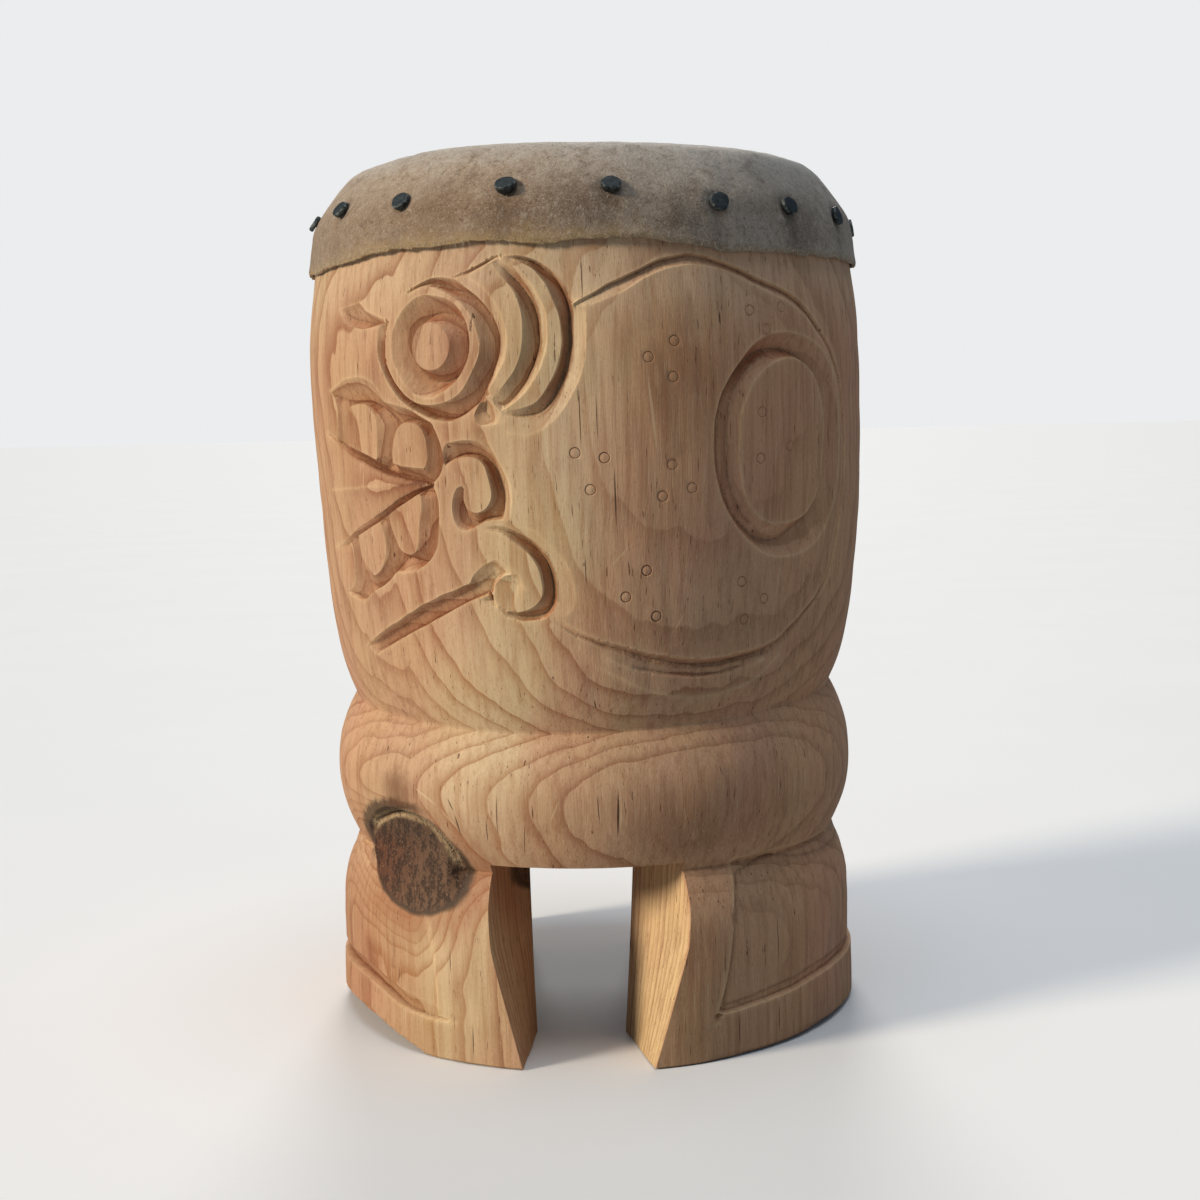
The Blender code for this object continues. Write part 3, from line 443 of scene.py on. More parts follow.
    *vee([0.3, 1.2, 1.8, 2, 1.8, 1.4, 0.3], [(-149, 112.5), (-144, 116), (-137, 119.2), (-128, 122.2),
        (-118, 123.8), (-107, 123.3), (-98, 121.2), (-91, 117.2), (-85, 111.6), (-81.4, 105.6),
        (-80, 99.5)], 1.1, 1.9),
]

WOBBLE = 0.28                     # how far a hand-cut line strays, in mm
DEEPER = 1.3                      # the barrel's cuts go this much deeper than the depths in the list
DEEP_PULL = 1.4                   # how much further a deep line draws grid points than an edge does


def stray(line):
    """The crease with its points moved a little by slow noise, the same for all lines that pass there."""
    place = np.column_stack([line[:, :2], 0 * line[:, 0]])
    away = np.column_stack([noise(place, 6.5, 11), noise(place, 6.5, 12)])
    return np.column_stack([line[:, :2] + WOBBLE * away, line[:, 2] * np.where(line[:, 1] > 190, DEEPER, 1)])


CREASES = [stray(line) for line in CREASES]


def nearest_crease(u, z, reach, cell_u=1.0, cell_z=1.0):
    """For points closer than reach cells to a crease: how far they are, less for a crease that runs deep,
    and (u, z, depth) of the nearest point on it. Also the distance to the nearest deep line and to
    the nearest edge at the surface."""
    best = np.full(len(u), reach)
    foot = np.column_stack([u, z, np.zeros(len(u))])
    deep, edge = np.full(len(u), 9.0), np.full(len(u), 9.0)
    cell = np.stack(np.broadcast_arrays(cell_u, cell_z, u)[:2], -1)
    margin = reach * np.array([cell[:, 0].max(), cell[:, 1].max()])
    for line in CREASES:
        low, high = line[:, :2].min(0) - margin, line[:, :2].max(0) + margin
        chosen = np.nonzero((u > low[0]) & (u < high[0]) & (z > low[1]) & (z < high[1]))[0]
        for part in np.array_split(chosen, max(1, len(chosen) // 4000)):
            if not len(part):
                continue
            start, end = line[:-1], line[1:]
            size = cell[part][:, None]
            along = (end - start)[None, :, :2] / size
            from_start = (np.stack([u[part], z[part]], -1)[:, None] - start[None, :, :2]) / size
            t = np.clip((from_start * along).sum(-1) / np.maximum((along ** 2).sum(-1), 1e-9), 0, 1)
            gap = np.hypot(*np.moveaxis(from_start - t[..., None] * along, -1, 0))
            k = gap.argmin(1)
            rows = np.arange(len(part))
            gap, t = gap[rows, k], t[rows, k]
            at = start[k] + t[:, None] * (end - start)[k]
            weighed = np.where(at[:, 2] > 0.9, gap / DEEP_PULL, gap)
            closer = weighed < best[part]
            best[part[closer]] = weighed[closer]
            foot[part[closer]] = at[closer]
            deep[part] = np.where(at[:, 2] > 1.4, np.minimum(deep[part], gap), deep[part])
            edge[part] = np.where(at[:, 2] < 0.9, np.minimum(edge[part], gap), edge[part])
    return best, foot, deep, edge


def crease_net():
    """The Delaunay triangles that hang between the crease lines: corners as (u, z, depth)."""
    points, edges = [], []
    for line in CREASES:
        first = len(points)
        points += [Vector((a, b)) for a, b in line[:, :2].tolist()]
        edges += [(i, i + 1) for i in range(first, len(points) - 1)]
    border = [(-HALF_ROUND - 5, -9), (HALF_ROUND + 5, -9), (HALF_ROUND + 5, 420), (-HALF_ROUND - 5, 420)]
    points += [Vector(p) for p in border]
    corners, _, faces, *_ = delaunay_2d_cdt(points, edges, [], 0, 0.005)
    corners = np.array([tuple(c) for c in corners])
    _, foot, _, _ = nearest_crease(corners[:, 0], corners[:, 1], 0.3)
    corners = np.column_stack([corners, foot[:, 2]])
    return corners[np.array(faces)]


def relief(net, u, z):
    """Depth of the carving at each point: the plane of the net's triangle that the point is in."""
    order = np.argsort(z)
    sorted_u, sorted_z = u[order], z[order]
    depth = np.zeros(len(u))
    cut = net[net[..., 2].max(1) > 0.02]
    first = np.searchsorted(sorted_z, cut[..., 1].min(1))
    last = np.searchsorted(sorted_z, cut[..., 1].max(1), side="right")
    for (a, b, c), low, high in zip(cut, first, last):
        reach = sorted_u[low:high]
        inside = (reach >= min(a[0], b[0], c[0])) & (reach <= max(a[0], b[0], c[0]))
        if not inside.any():
            continue
        x, y = reach[inside], sorted_z[low:high][inside]
        whole = (b[0] - a[0]) * (c[1] - a[1]) - (c[0] - a[0]) * (b[1] - a[1])
        if abs(whole) < 1e-9:
            continue
        s = ((x - a[0]) * (c[1] - a[1]) - (c[0] - a[0]) * (y - a[1])) / whole
        t = ((b[0] - a[0]) * (y - a[1]) - (x - a[0]) * (b[1] - a[1])) / whole
        hit = (s >= -1e-6) & (t >= -1e-6) & (s + t <= 1 + 1e-6)
        where = order[low:high][inside][hit]
        depth[where] = a[2] + s[hit] * (b[2] - a[2]) + t[hit] * (c[2] - a[2])
    return depth


# ================================================================ putting a closed skin together

# channels of the log: grime with painted shade, wear with painted highlight, the inside, and steep cut walls
# with painted shade
GRIME_AND_SHADE, WEAR_AND_HIGHLIGHT, INSIDE, STEEP_WALL_SHADE = range(4)     # channels of the marks on the log
PRESSED_SHADE, LIP, HAIR = range(3)             # on the hide
RIM_WEAR_AND_GLINT = 0                              # and on the tacks


def one_mark(shape, channel):
    """Marks of the given shape, all 0 but for one channel."""
    marks = np.zeros(shape + (4,))
    marks[..., channel] = 1
    return marks


def wrapped(rows):
    """The rows with their first column once more at the end, to close them round."""
    return np.column_stack([rows, rows[:, 0]])


class Shell:
    """A mesh that grows by whole arrays: points, then quads and triangles between their numbers."""

    def __init__(self):
        self.points, self.marks, self.count = [], [], 0
        self.quads, self.triangles = [], []

    def add(self, points, marks=None):
        """Adds points of any array shape, and returns their numbers in that shape. Marks are the four
        channels at each point, from 0 to 1."""
        flat = points.reshape(-1, 3)
        self.points.append(flat)
        self.marks.append(np.zeros((len(flat), 4)) if marks is None else marks.reshape(-1, 4))
        self.count += len(flat)
        return np.arange(self.count - len(flat), self.count).reshape(points.shape[:-1])

    def grid(self, rows):
        """Quads between neighbours in a two-way array of numbers."""
        corners = rows[:-1, :-1], rows[:-1, 1:], rows[1:, 1:], rows[1:, :-1]
        self.quads.append(np.stack(corners, -1).reshape(-1, 4))

    def fan(self, ring, middle):
        """Triangles from a closed ring of numbers to one new point in its middle."""
        pole = self.add(np.array([middle], float))
        self.triangles.append(np.column_stack([ring, np.roll(ring, -1), np.full(len(ring), pole[0])]))

    def zip(self, row_a, row_b, along_a, along_b):
        """Triangles between two rows of different counts: walking along both, each step closes a
        triangle with the point reached on the other."""
        mid_a, mid_b = (along_a[1:] + along_a[:-1]) / 2, (along_b[1:] + along_b[:-1]) / 2
        at_b = row_b[np.searchsorted(mid_b, mid_a)]
        at_a = row_a[np.searchsorted(mid_a, mid_b, side="right")]
        self.triangles.append(np.column_stack([row_a[:-1], row_a[1:], at_b]))
        self.triangles.append(np.column_stack([row_b[1:], row_b[:-1], at_a]))

    def bridge(self, outer, inner, side_a, side_b, lift=None):
        """Closes the gap between an outer and an inner row whose ends are joined by two side rows:
        a grid blended from all four, with the first strip zipped to the outer row."""
        xyz = np.vstack(self.points)
        columns, strips = len(inner), len(side_a)
        t = np.linspace(0, 1, columns)
        s = np.linspace(0, 1, strips)[:, None, None]
        run = run_along(xyz[outer])
        far = np.stack([np.interp(t, run / run[-1], xyz[outer][:, k]) for k in range(3)], -1)
        near = xyz[inner]
        left, right = xyz[side_a][:, None], xyz[side_b][:, None]
        t = t[None, :, None]
        blend = (1 - s) * far + s * near + (1 - t) * left + t * right
        blend -= (1 - s) * ((1 - t) * far[0] + t * far[-1]) + s * ((1 - t) * near[0] + t * near[-1])
        if lift is not None:
            blend[1:-1, 1:-1] += lift(blend[1:-1, 1:-1])
        middle = self.add(blend[1:-1, 1:-1], one_mark((strips - 2, columns - 2), INSIDE))
        rows = np.column_stack([side_a[1:-1], middle, side_b[1:-1]])
        self.grid(np.vstack([rows, inner[None]]))
        self.zip(outer, rows[0], run / run[-1], np.linspace(0, 1, columns))

    def mesh(self, name):
        """The Blender mesh, with its faces turned outwards and the marks as a colour attribute."""
        points = np.vstack(self.points)
        quads, triangles = np.vstack(self.quads), np.vstack(self.triangles)
        used = np.zeros(len(points), bool)
        used[quads.ravel()] = True
        used[triangles.ravel()] = True
        number = np.cumsum(used) - 1
        made = new_mesh(name, points[used], number[quads], number[triangles])
        colours = made.color_attributes.new("marks", "FLOAT_COLOR", "POINT")
        rgba = np.vstack(self.marks)[used]
        colours.data.foreach_set("color", rgba.ravel().astype(np.float32))
        bm = bmesh.new()
        bm.from_mesh(made)
        bmesh.ops.dissolve_degenerate(bm, dist=1e-6, edges=bm.edges)
        bmesh.ops.recalc_face_normals(bm, faces=bm.faces)
        if bm.calc_volume(signed=True) < 0:
            bmesh.ops.reverse_faces(bm, faces=bm.faces)
        bm.to_mesh(made)
        bm.free()
        return made


def new_mesh(name, points, quads, triangles):
    """A mesh of the points (in mm) and the faces given by their numbers."""
    made = bpy.data.meshes.new(name)
    made.vertices.add(len(points))
    made.vertices.foreach_set("co", (points * MM).ravel().astype(np.float32))
    numbers = np.concatenate([quads.ravel(), triangles.ravel()])
    made.loops.add(len(numbers))
    made.loops.foreach_set("vertex_index", numbers.astype(np.int32))
    sizes = np.concatenate([np.full(len(quads), 4), np.full(len(triangles), 3)])
    made.polygons.add(len(sizes))
    made.polygons.foreach_set("loop_start", np.concatenate([[0], np.cumsum(sizes)[:-1]]).astype(np.int32))
    made.update(calc_edges=True)
    return made


def piece(name, mesh, material, replaced, sharp):
    """A finished piece: linked, riding on the one body, and shaded smooth but for the edges that bend
    by more than so many degrees."""
    made = bpy.data.objects.new(name, mesh)
    bpy.context.scene.collection.objects.link(made)
    mesh.materials.append(material)
    mesh.polygons.foreach_set("use_smooth", np.ones(len(mesh.polygons), bool))
    mesh.set_sharp_from_angle(angle=math.radians(sharp))
    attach(made, "root")
    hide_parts(*replaced)
    return made


# ================================================================ the log

SLOT_TOP = 101.0
SLOT_EDGES = {                    # x of the outer edge and of the inner edge: at the top, at the feet
    "left": ((-57, -38), (-36, -33)),
    "right": ((49, 26), (19, 13)),
}
SLOT_OUT, SLOT_IN = 134.0, 79.0   # how far from the axis those edges are
SLOT_BACK_WIDER = 8.0
BORE_X = -4.0


def bore_radius(z):
    """Radius of the hollow: straight between the legs, opening out above them."""
    return np.interp(z, (-6, 104, 190, 250, 470), (84, 84, 109, 118, 119))


def slot_wall(z, side, back):
    """The plan of one side of the slot at the height z: x at the depth SLOT_IN, and the change of x
    up to SLOT_OUT. The sides lean apart upwards, less so above a knee."""
    out_x, in_x = SLOT_EDGES[side]
    wider = (SLOT_BACK_WIDER if back else 0) * (1 if side == "right" else -1)
    lean = np.interp(z, (0, 30, 60, 80, SLOT_TOP), (0, 0.39, 0.8, 0.93, 1))
    far = out_x[1] + (out_x[0] - out_x[1]) * lean + wider
    near = in_x[1] + (in_x[0] - in_x[1]) * np.clip(z / SLOT_TOP, 0, 1) + wider
    return near, far - near


def meet_circle(near, change, middle, radius):
    """Where a slot wall meets a circle round (middle, 0): the share of the way from SLOT_IN to SLOT_OUT,
    from the quadratic of its distance."""
    deep = SLOT_OUT - SLOT_IN
    a = change ** 2 + deep ** 2
    b = (near - middle) * change + SLOT_IN * deep
    c = (near - middle) ** 2 + SLOT_IN ** 2 - radius ** 2
    share = (-b + np.sqrt(b ** 2 - a * c)) / a
    return near + change * share, SLOT_IN + deep * share


def slot_outer_u(z, side, back):
    """Arc length at which the slot's side meets the log's skin."""
    near, change = slot_wall(z, side, back)
    u = np.full(np.shape(z), 0.0)
    for _ in range(4):
        x, away = meet_circle(near, change, 0.0, skin(u, z))
        u = np.arctan2(x, -away if back else away) * GIRTH
    return u


def slot_inner_angle(z, side, back):
    """Angle round the hollow's own axis at which the slot's side meets the hollow."""
    near, change = slot_wall(z, side, back)
    x, away = meet_circle(near, change, BORE_X, bore_radius(z))
    return np.arctan2(x - BORE_X, -away if back else away)


SLOT_SIDES = (("left", True), ("left", False), ("right", False), ("right", True))   # in the order of u


def ease_to_slots(base, z, targets, anchors):
    """Moves columns so that four of them follow the slot's sides below its top: the shift of those
    four is spread in straight lines to fixed anchors between them, and fades out above the slot."""
    chosen = [int(np.abs(base - t[-1]).argmin()) for t in targets]
    fade = np.clip(1 - (z - SLOT_TOP) / 60, 0, 1)
    moved = np.repeat(base[None], len(z), 0)
    for i, height in enumerate(z):
        shifts = [np.interp(height, LOW_ROWS, t) - base[k] for t, k in zip(targets, chosen)]
        ends = (shifts[0] + shifts[3]) / 2
        knots = [-anchors[0], base[chosen[0]], -anchors[1], -anchors[2], base[chosen[1]], base[chosen[2]],
                 anchors[2], anchors[1], base[chosen[3]], anchors[0]]
        values = [ends, shifts[0], 0, 0, shifts[1], shifts[2], 0, 0, shifts[3], ends]
        moved[i] += fade[i] * np.interp(base, knots, values)
    return moved, chosen


FRONT_LEFT, FRONT_RIGHT = -178, 170       # the carved front of the barrel, in u
FINE = np.concatenate([np.linspace(FRONT_LEFT, -8, 181), np.linspace(-8, FRONT_RIGHT, 135)[1:]])
BACK_LEFT = np.linspace(-HALF_ROUND, FRONT_LEFT, 38)[:-1]
BACK_RIGHT = np.linspace(FRONT_RIGHT, HALF_ROUND, 39)[1:-1]
COARSE = np.concatenate([BACK_LEFT, FINE[::2], BACK_RIGHT])
LOW_ROWS = np.concatenate([       # heights of the rows: legs, then bulge and waist, then barrel
    [0, 1.2, 2.6, 4.4, 6.6, 9, 11.6, 14.3, 17], np.arange(18.3, 41.5, 1.35), np.arange(44, 87, 3.2),
    np.arange(89, 100.5, 1.5), [SLOT_TOP]])
MIDDLE_ROWS = np.concatenate([
    np.arange(102.4, 127, 1.5), np.arange(128.5, 160, 2.6), np.arange(161, 188, 1.3), [190.4, 192.6, 194.6]])
HIGH_ROWS = np.linspace(196, 406.4, 184)


def height_of(u, row):
    """Height of a row at u: the rows round the waist dip with its groove, so z solves z + shift = row."""
    z = row + 0 * u
    for _ in range(6):
        z = row - waist_shift(u, z)
    return z


def settle(u, z, cell_u, cell_z, net):
    """Moves points that lie within half a cell of a crease onto it, and returns the new (u, z), the
    depth there, which points lie on a crease, and the marks: grime with painted shade beside deep
    lines, wear with painted highlights beside edges, and redder end grain with painted shade on steep
    walls and in the deep hollows on the left."""
    shape = u.shape
    u, z = u.ravel().copy(), z.ravel().copy()
    cell_u, cell_z = (np.broadcast_to(c, shape).ravel() for c in (cell_u, cell_z))
    near, foot, _, _ = nearest_crease(u, z, 0.5, cell_u, cell_z)
    on = near < 0.5
    u[on], z[on] = foot[on, 0], foot[on, 1]
    depth = relief(net, u, z)
    depth[on] = foot[on, 2]
    _, _, deep, edge = nearest_crease(u, z, 2.2)
    # grime and painted shade along the bottoms of the deep cuts
    grime_and_shade = np.exp(-deep / 0.9) * np.clip(depth / 2, 0, 1)      # about 1 mm beside a deep line
    # wear and painted highlight beside the edges at the surface
    wear_and_highlight = np.exp(-edge / 0.8) * np.clip(1.2 - depth, 0, 1)     # and beside an edge at the surface
    slope = np.hypot(relief(net, u + 0.5, z) - relief(net, u - 0.5, z),
                     relief(net, u, z + 0.5) - relief(net, u, z - 0.5))
    # painted shade: darker and redder the deeper the hollows on the left; the steep walls get redder end
    # grain and painted shade
    deep_left_shade = 0.55 * np.clip(depth / 6, 0, 1) * np.clip((-55 - u) / 25, 0, 1)
    steep_wall_shade = np.maximum(np.clip((slope - 0.6) / 0.7, 0, 1) * np.clip(depth / 2, 0, 1), deep_left_shade)
    return (u.reshape(shape), z.reshape(shape), depth.reshape(shape), on.reshape(shape),
            np.stack([grime_and_shade, wear_and_highlight, 0 * wear_and_highlight, steep_wall_shade], -1).reshape(shape + (4,)))


def carved(u, z, depth):
    """The point of the carved log: the skin less the depth, with the small marks of the knife."""
    place = around(u, z, GIRTH)
    marks = np.clip(depth / 3, 0, 1) * (0.16 * noise(place, 3.6, 21) + 0.3 * noise(place, 10, 22))
    return around(u, z, skin(u, z) - depth - marks)


def split(rows, depth, on):
    """Two triangles for each cell of a grid, cut along the diagonal that follows a crease, or else
    along the one whose ends differ less in depth."""
    a, b, c, d = rows[:-1, :-1], rows[:-1, 1:], rows[1:, 1:], rows[1:, :-1]
    fall_ac, fall_bd = np.abs(depth[:-1, :-1] - depth[1:, 1:]), np.abs(depth[:-1, 1:] - depth[1:, :-1])
    fall_ac = np.where(on[:-1, :-1] & on[1:, 1:] & (fall_ac < 0.8), fall_ac - 20, fall_ac)
    fall_bd = np.where(on[:-1, 1:] & on[1:, :-1] & (fall_bd < 0.8), fall_bd - 20, fall_bd)
    along = (fall_ac <= fall_bd)[..., None]
    first = np.where(along, np.stack([a, b, c], -1), np.stack([a, b, d], -1))
    second = np.where(along, np.stack([a, c, d], -1), np.stack([b, c, d], -1))
    return first, second


STAMPS = (                        # u, z and depth of the punched rings
    (31, 350, 0.5), (44, 357.5, 0.5), (43, 340.5, 0.45), (86, 372, 0.45), (96, 363, 0.2), (107, 374, 0.25),
    (9, 303, 0.7), (-5, 305.6, 0.6), (2, 288, 0.65), (42, 299, 0.4), (37, 284, 0.55), (52, 287.5, 0.4),
    (92, 323, 0.3), (111, 306, 0.25), (91, 300.5, 0.4), (29, 248.5, 0.8), (18.5, 236, 0.7), (34, 226, 0.8),
    (81, 240.5, 0.5), (96, 231, 0.45), (84, 221.5, 0.4))
STAMP_RINGS = ((3.05, 0.0), (2.8, 0.1), (2.5, 1.0), (2.2, 0.25), (1.3, 0.0))    # radius, share of depth
STAMP_DEEPER = 1.3                # the stamps go this much deeper than the depths in the list


def punch(shell, u, z, rows, depth, kept):
    """Replaces a block of six by six cells round each stamp by rings of points that sink and rise
    again, and marks the block's cells as taken away."""
    for stamp_u, stamp_z, sunk in STAMPS:
        gap = np.hypot(u - stamp_u, z - stamp_z)
        i, j = np.unravel_index(gap.argmin(), gap.shape)
        kept[i - 3:i + 3, j - 3:j + 3] = False
        k, three = np.arange(-3, 3), np.full(6, 3)
        border = i + np.concatenate([-three, k, three, -k]), j + np.concatenate([k, three, -k, -three])
        angle = np.arctan2(z[border] - stamp_z, u[border] - stamp_u)
        level = depth[border].mean()
        last = rows[border]
        for radius, share in STAMP_RINGS:
            ring_u, ring_z = stamp_u + radius * np.cos(angle), stamp_z + radius * np.sin(angle)
            # grime and painted shade in the punched rings
            marks = one_mark(ring_u.shape, GRIME_AND_SHADE) * share * min(1, 0.6 + sunk)
            radii = skin(ring_u, ring_z) - level - STAMP_DEEPER * share * sunk
            ring = shell.add(around(ring_u, ring_z, radii), marks)
            shell.grid(wrapped(np.vstack([last, ring])))
            last = ring
        shell.fan(last, around(stamp_u, stamp_z, skin(stamp_u, stamp_z) - level))


FOOT_CUT_ROUND, FOOT_CUT_SLOPE = math.radians(-66), math.radians(50)    # where the cut faces, and its slope
FOOT_CUT_RADIUS, FOOT_CUT_TOP = 143, 14       # its upper edge: distance from the axis, and height


def arc_of(points):
    """Arc length u of points."""
    return np.arctan2(points[..., 0], -points[..., 1]) * GIRTH


def wear_feet(points, u):
    """Takes off the lowest edge of the log: a small slope all round, larger at the right, and the flat
    cut under the outer corner of the left foot."""
    flat = np.stack([np.sin(u / GIRTH), -np.cos(u / GIRTH)], -1)
    radius = (points[..., :2] * flat).sum(-1)
    size = 1.1 + 2.6 * np.exp(-((u - 150) / 70) ** 2) + 0.5 * noise(points, 12, 31)
    past = np.clip(size - (skin(u, 0 * u) - radius) - points[..., 2], 0, None) / 2
    moved = points.copy()
    moved[..., :2] -= past[..., None] * flat
    moved[..., 2] += past
    faces = np.array([math.sin(FOOT_CUT_ROUND), -math.cos(FOOT_CUT_ROUND)])
    outward = np.array([*faces * math.cos(FOOT_CUT_SLOPE), -math.sin(FOOT_CUT_SLOPE)])
    edge = np.array([*faces * FOOT_CUT_RADIUS, FOOT_CUT_TOP])
    beyond = np.clip((moved - edge) @ outward + 0.5 * noise(points, 9, 32), 0, None)
    return moved - beyond[..., None] * outward * (moved[..., :1] < 0)


RIM = np.array([                  # radius and z of the shoulder under the hide
    (144.4, 409.5), (143.6, 418), (141.2, 427), (133.6, 438), (126.8, 446.2), (121.5, 449.6)])
SIDE_COLUMNS = 16                 # columns of points across a side of the slot
WORN_ROWS = 8                     # rows from the feet up that the wear of the feet can reach


def make_log(material):
    """The log: a coarse grid of columns and rows round the legs and the bulge, with the slot left out,
    a fine grid over the carved front of the barrel, a coarse one behind it, then the shoulder under
    the hide, the hollow, and the slot's sides, ceiling and soles between them."""
    shell, net = Shell(), crease_net()

    # legs, bulge and waist
    targets = [slot_outer_u(LOW_ROWS, side, back) for side, back in SLOT_SIDES]
    low_rows = np.concatenate([LOW_ROWS, MIDDLE_ROWS])
    low_u, edges = ease_to_slots(COARSE, low_rows, targets, (HALF_ROUND, 320, 130))
    low_z = height_of(low_u, low_rows[:, None])
    cell_u = np.gradient(COARSE)[None]
    cell_z = np.gradient(low_rows)[:, None]
    fixed = np.zeros(low_u.shape, bool)
    fixed[:len(LOW_ROWS), edges] = True
    u, z, depth, on, marks = settle(low_u, low_z, np.where(fixed, 1e-6, cell_u), cell_z, net)
    z[0] = 0
    points = carved(u, z, depth)
    points[:WORN_ROWS] = wear_feet(points[:WORN_ROWS], u[:WORN_ROWS])
    low = shell.add(points, marks)
    first, second = split(wrapped(low), wrapped(depth), wrapped(on))
    top = len(LOW_ROWS) - 1
    kept = np.ones(first.shape[:2], bool)
    kept[:top, edges[1]:edges[2]] = False
    kept[:top, edges[3]:] = False
    kept[:top, :edges[0]] = False
    shell.triangles += [first[kept], second[kept]]

    # the carved front of the barrel
    high_u = np.repeat(FINE[None], len(HIGH_ROWS), 0)
    high_z = height_of(high_u, HIGH_ROWS[:, None])
    cell_z = HIGH_ROWS[1] - HIGH_ROWS[0]
    u, z, depth, on, marks = settle(high_u, high_z, np.gradient(FINE)[None], cell_z, net)
    front = shell.add(carved(u, z, depth), marks)
    first, second = split(front, depth, on)
    kept = np.ones(first.shape[:2], bool)
    punch(shell, u, z, front, depth, kept)
    shell.triangles += [first[kept], second[kept]]

    # the plain back of the barrel
    back_u = np.repeat(np.concatenate([BACK_RIGHT, BACK_LEFT])[None], len(HIGH_ROWS[::3]), 0)
    back_z = height_of(back_u, HIGH_ROWS[::3][:, None])
    back = shell.add(around(back_u, back_z, skin(back_u, back_z)))
    shell.grid(back)
    shell.zip(front[:, -1], back[:, 0], HIGH_ROWS, HIGH_ROWS[::3])
    shell.zip(back[:, -1], front[:, 0], HIGH_ROWS[::3], HIGH_ROWS)
    right_of_seam = (back_u[0] + ROUND) % ROUND
    loop_u = np.concatenate([FINE, right_of_seam, FINE[:1] + ROUND])
    start = len(BACK_LEFT)
    low_loop = np.concatenate([low[-1, start:], low[-1, :start + 1]])
    low_loop_u = np.concatenate([COARSE[start:], COARSE[:start + 1] + ROUND])
    shell.zip(low_loop, np.concatenate([front[0], back[0], front[0, :1]]), low_loop_u, loop_u)

    # the hollow: 64 columns that follow the inner edges of the slot
    spans = ((-math.pi, -2.72, 6), (-2.72, -0.42, 20), (-0.42, 0.3, 12), (0.3, 2.74, 20), (2.74, math.pi, 6))
    base = np.concatenate([np.linspace(a, b, columns, endpoint=False) for a, b, columns in spans])
    targets = [slot_inner_angle(LOW_ROWS, side, back) for side, back in SLOT_SIDES]
    for column, target in zip(np.cumsum([columns for *_, columns in spans]), targets):
        base[column] = target[-1]
    bore_rows = np.concatenate([LOW_ROWS, np.arange(112, 450, 9.4)])
    angle, bore_edges = ease_to_slots(base, bore_rows, targets, (math.pi, 2.1, 1.1))
    height = np.repeat(bore_rows[:, None], len(base), 1)
    radius = bore_radius(height)
    inside = np.stack([BORE_X + radius * np.sin(angle), -radius * np.cos(angle), height], -1)
    dug = 1.1 * noise(inside, 22, 41) * np.clip(np.abs(height - SLOT_TOP) / 30, 0, 1) * (height > SLOT_TOP)
    inside[..., :2] *= 1 + (dug / radius)[..., None]
    bore = shell.add(inside, one_mark(inside.shape[:2], INSIDE))
    closed = wrapped(bore)
    for a, b in ((bore_edges[0], bore_edges[1]), (bore_edges[2], bore_edges[3])):
        shell.grid(closed[:top + 1, a:b + 1])
    shell.grid(closed[top:])

    # the shoulder and the rim, hidden under the hide
    shoulder = shell.add(around(base[None] * GIRTH, RIM[:, 1:], RIM[:, :1]))
    shell.grid(np.vstack([wrapped(shoulder), closed[-1:]]))
    upper = np.concatenate([front[-1], back[-1], front[-1, :1]])
    turned_u = (base * GIRTH - FRONT_LEFT) % ROUND + FRONT_LEFT
    order = np.argsort(turned_u)
    ring = shoulder[0][order]
    ring_u = turned_u[order]
    shell.zip(upper, np.concatenate([ring, ring[:1]]), loop_u, np.concatenate([ring_u, ring_u[:1] + ROUND]))

    # the slot: four sides, two ceilings, and the two soles
    share = np.linspace(0, 1, SIDE_COLUMNS + 1)[None, 1:-1, None]
    xyz = np.vstack(shell.points)
    sides = []
    for k, (outer, inner) in enumerate(zip(edges, bore_edges)):
        outside, within = xyz[low[:top + 1, outer]][:, None], xyz[bore[:top + 1, inner]][:, None]
        flat = outside + (within - outside) * share
        sawn = 0.5 * noise(flat, 26, 51) + 0.22 * noise(flat * (1, 1, 0.25), 5, 52)
        fade = np.sin(share * math.pi) ** 0.5 * np.clip((SLOT_TOP - flat[..., 2:]) / 6, 0, 1)
        flat[..., :1] += sawn[..., None] * fade
        flat = wear_feet(flat, arc_of(flat))
        middle = shell.add(flat, one_mark(flat.shape[:2], INSIDE))
        sides.append(np.column_stack([low[:top + 1, outer], middle, bore[:top + 1, inner]]))
        shell.grid(sides[-1])
    all_low = np.column_stack([low, low])
    all_bore = np.column_stack([bore, bore])
    columns, hollow = len(COARSE), len(base)
    # each gap: the two sides it lies between, whether it runs past the back seam, and its row
    for a, b, wraps, row in ((1, 2, 0, top), (3, 0, 1, top), (0, 1, 0, 0), (2, 3, 0, 0)):
        outer = all_low[row, edges[a]:edges[b] + columns * wraps + 1]
        inner = all_bore[row, bore_edges[a]:bore_edges[b] + hollow * wraps + 1]
        lift = wear_soles if row == 0 else None
        shell.bridge(outer, inner, sides[a][row], sides[b][row], lift)
    return piece("drum_log", shell.mesh("drum_log"), material, ["drum_body"], 17)


def wear_soles(points):
    """How far the worn edge lifts the points of a sole."""
    return wear_feet(points, arc_of(points)) - points


# ================================================================ the hide and its tacks

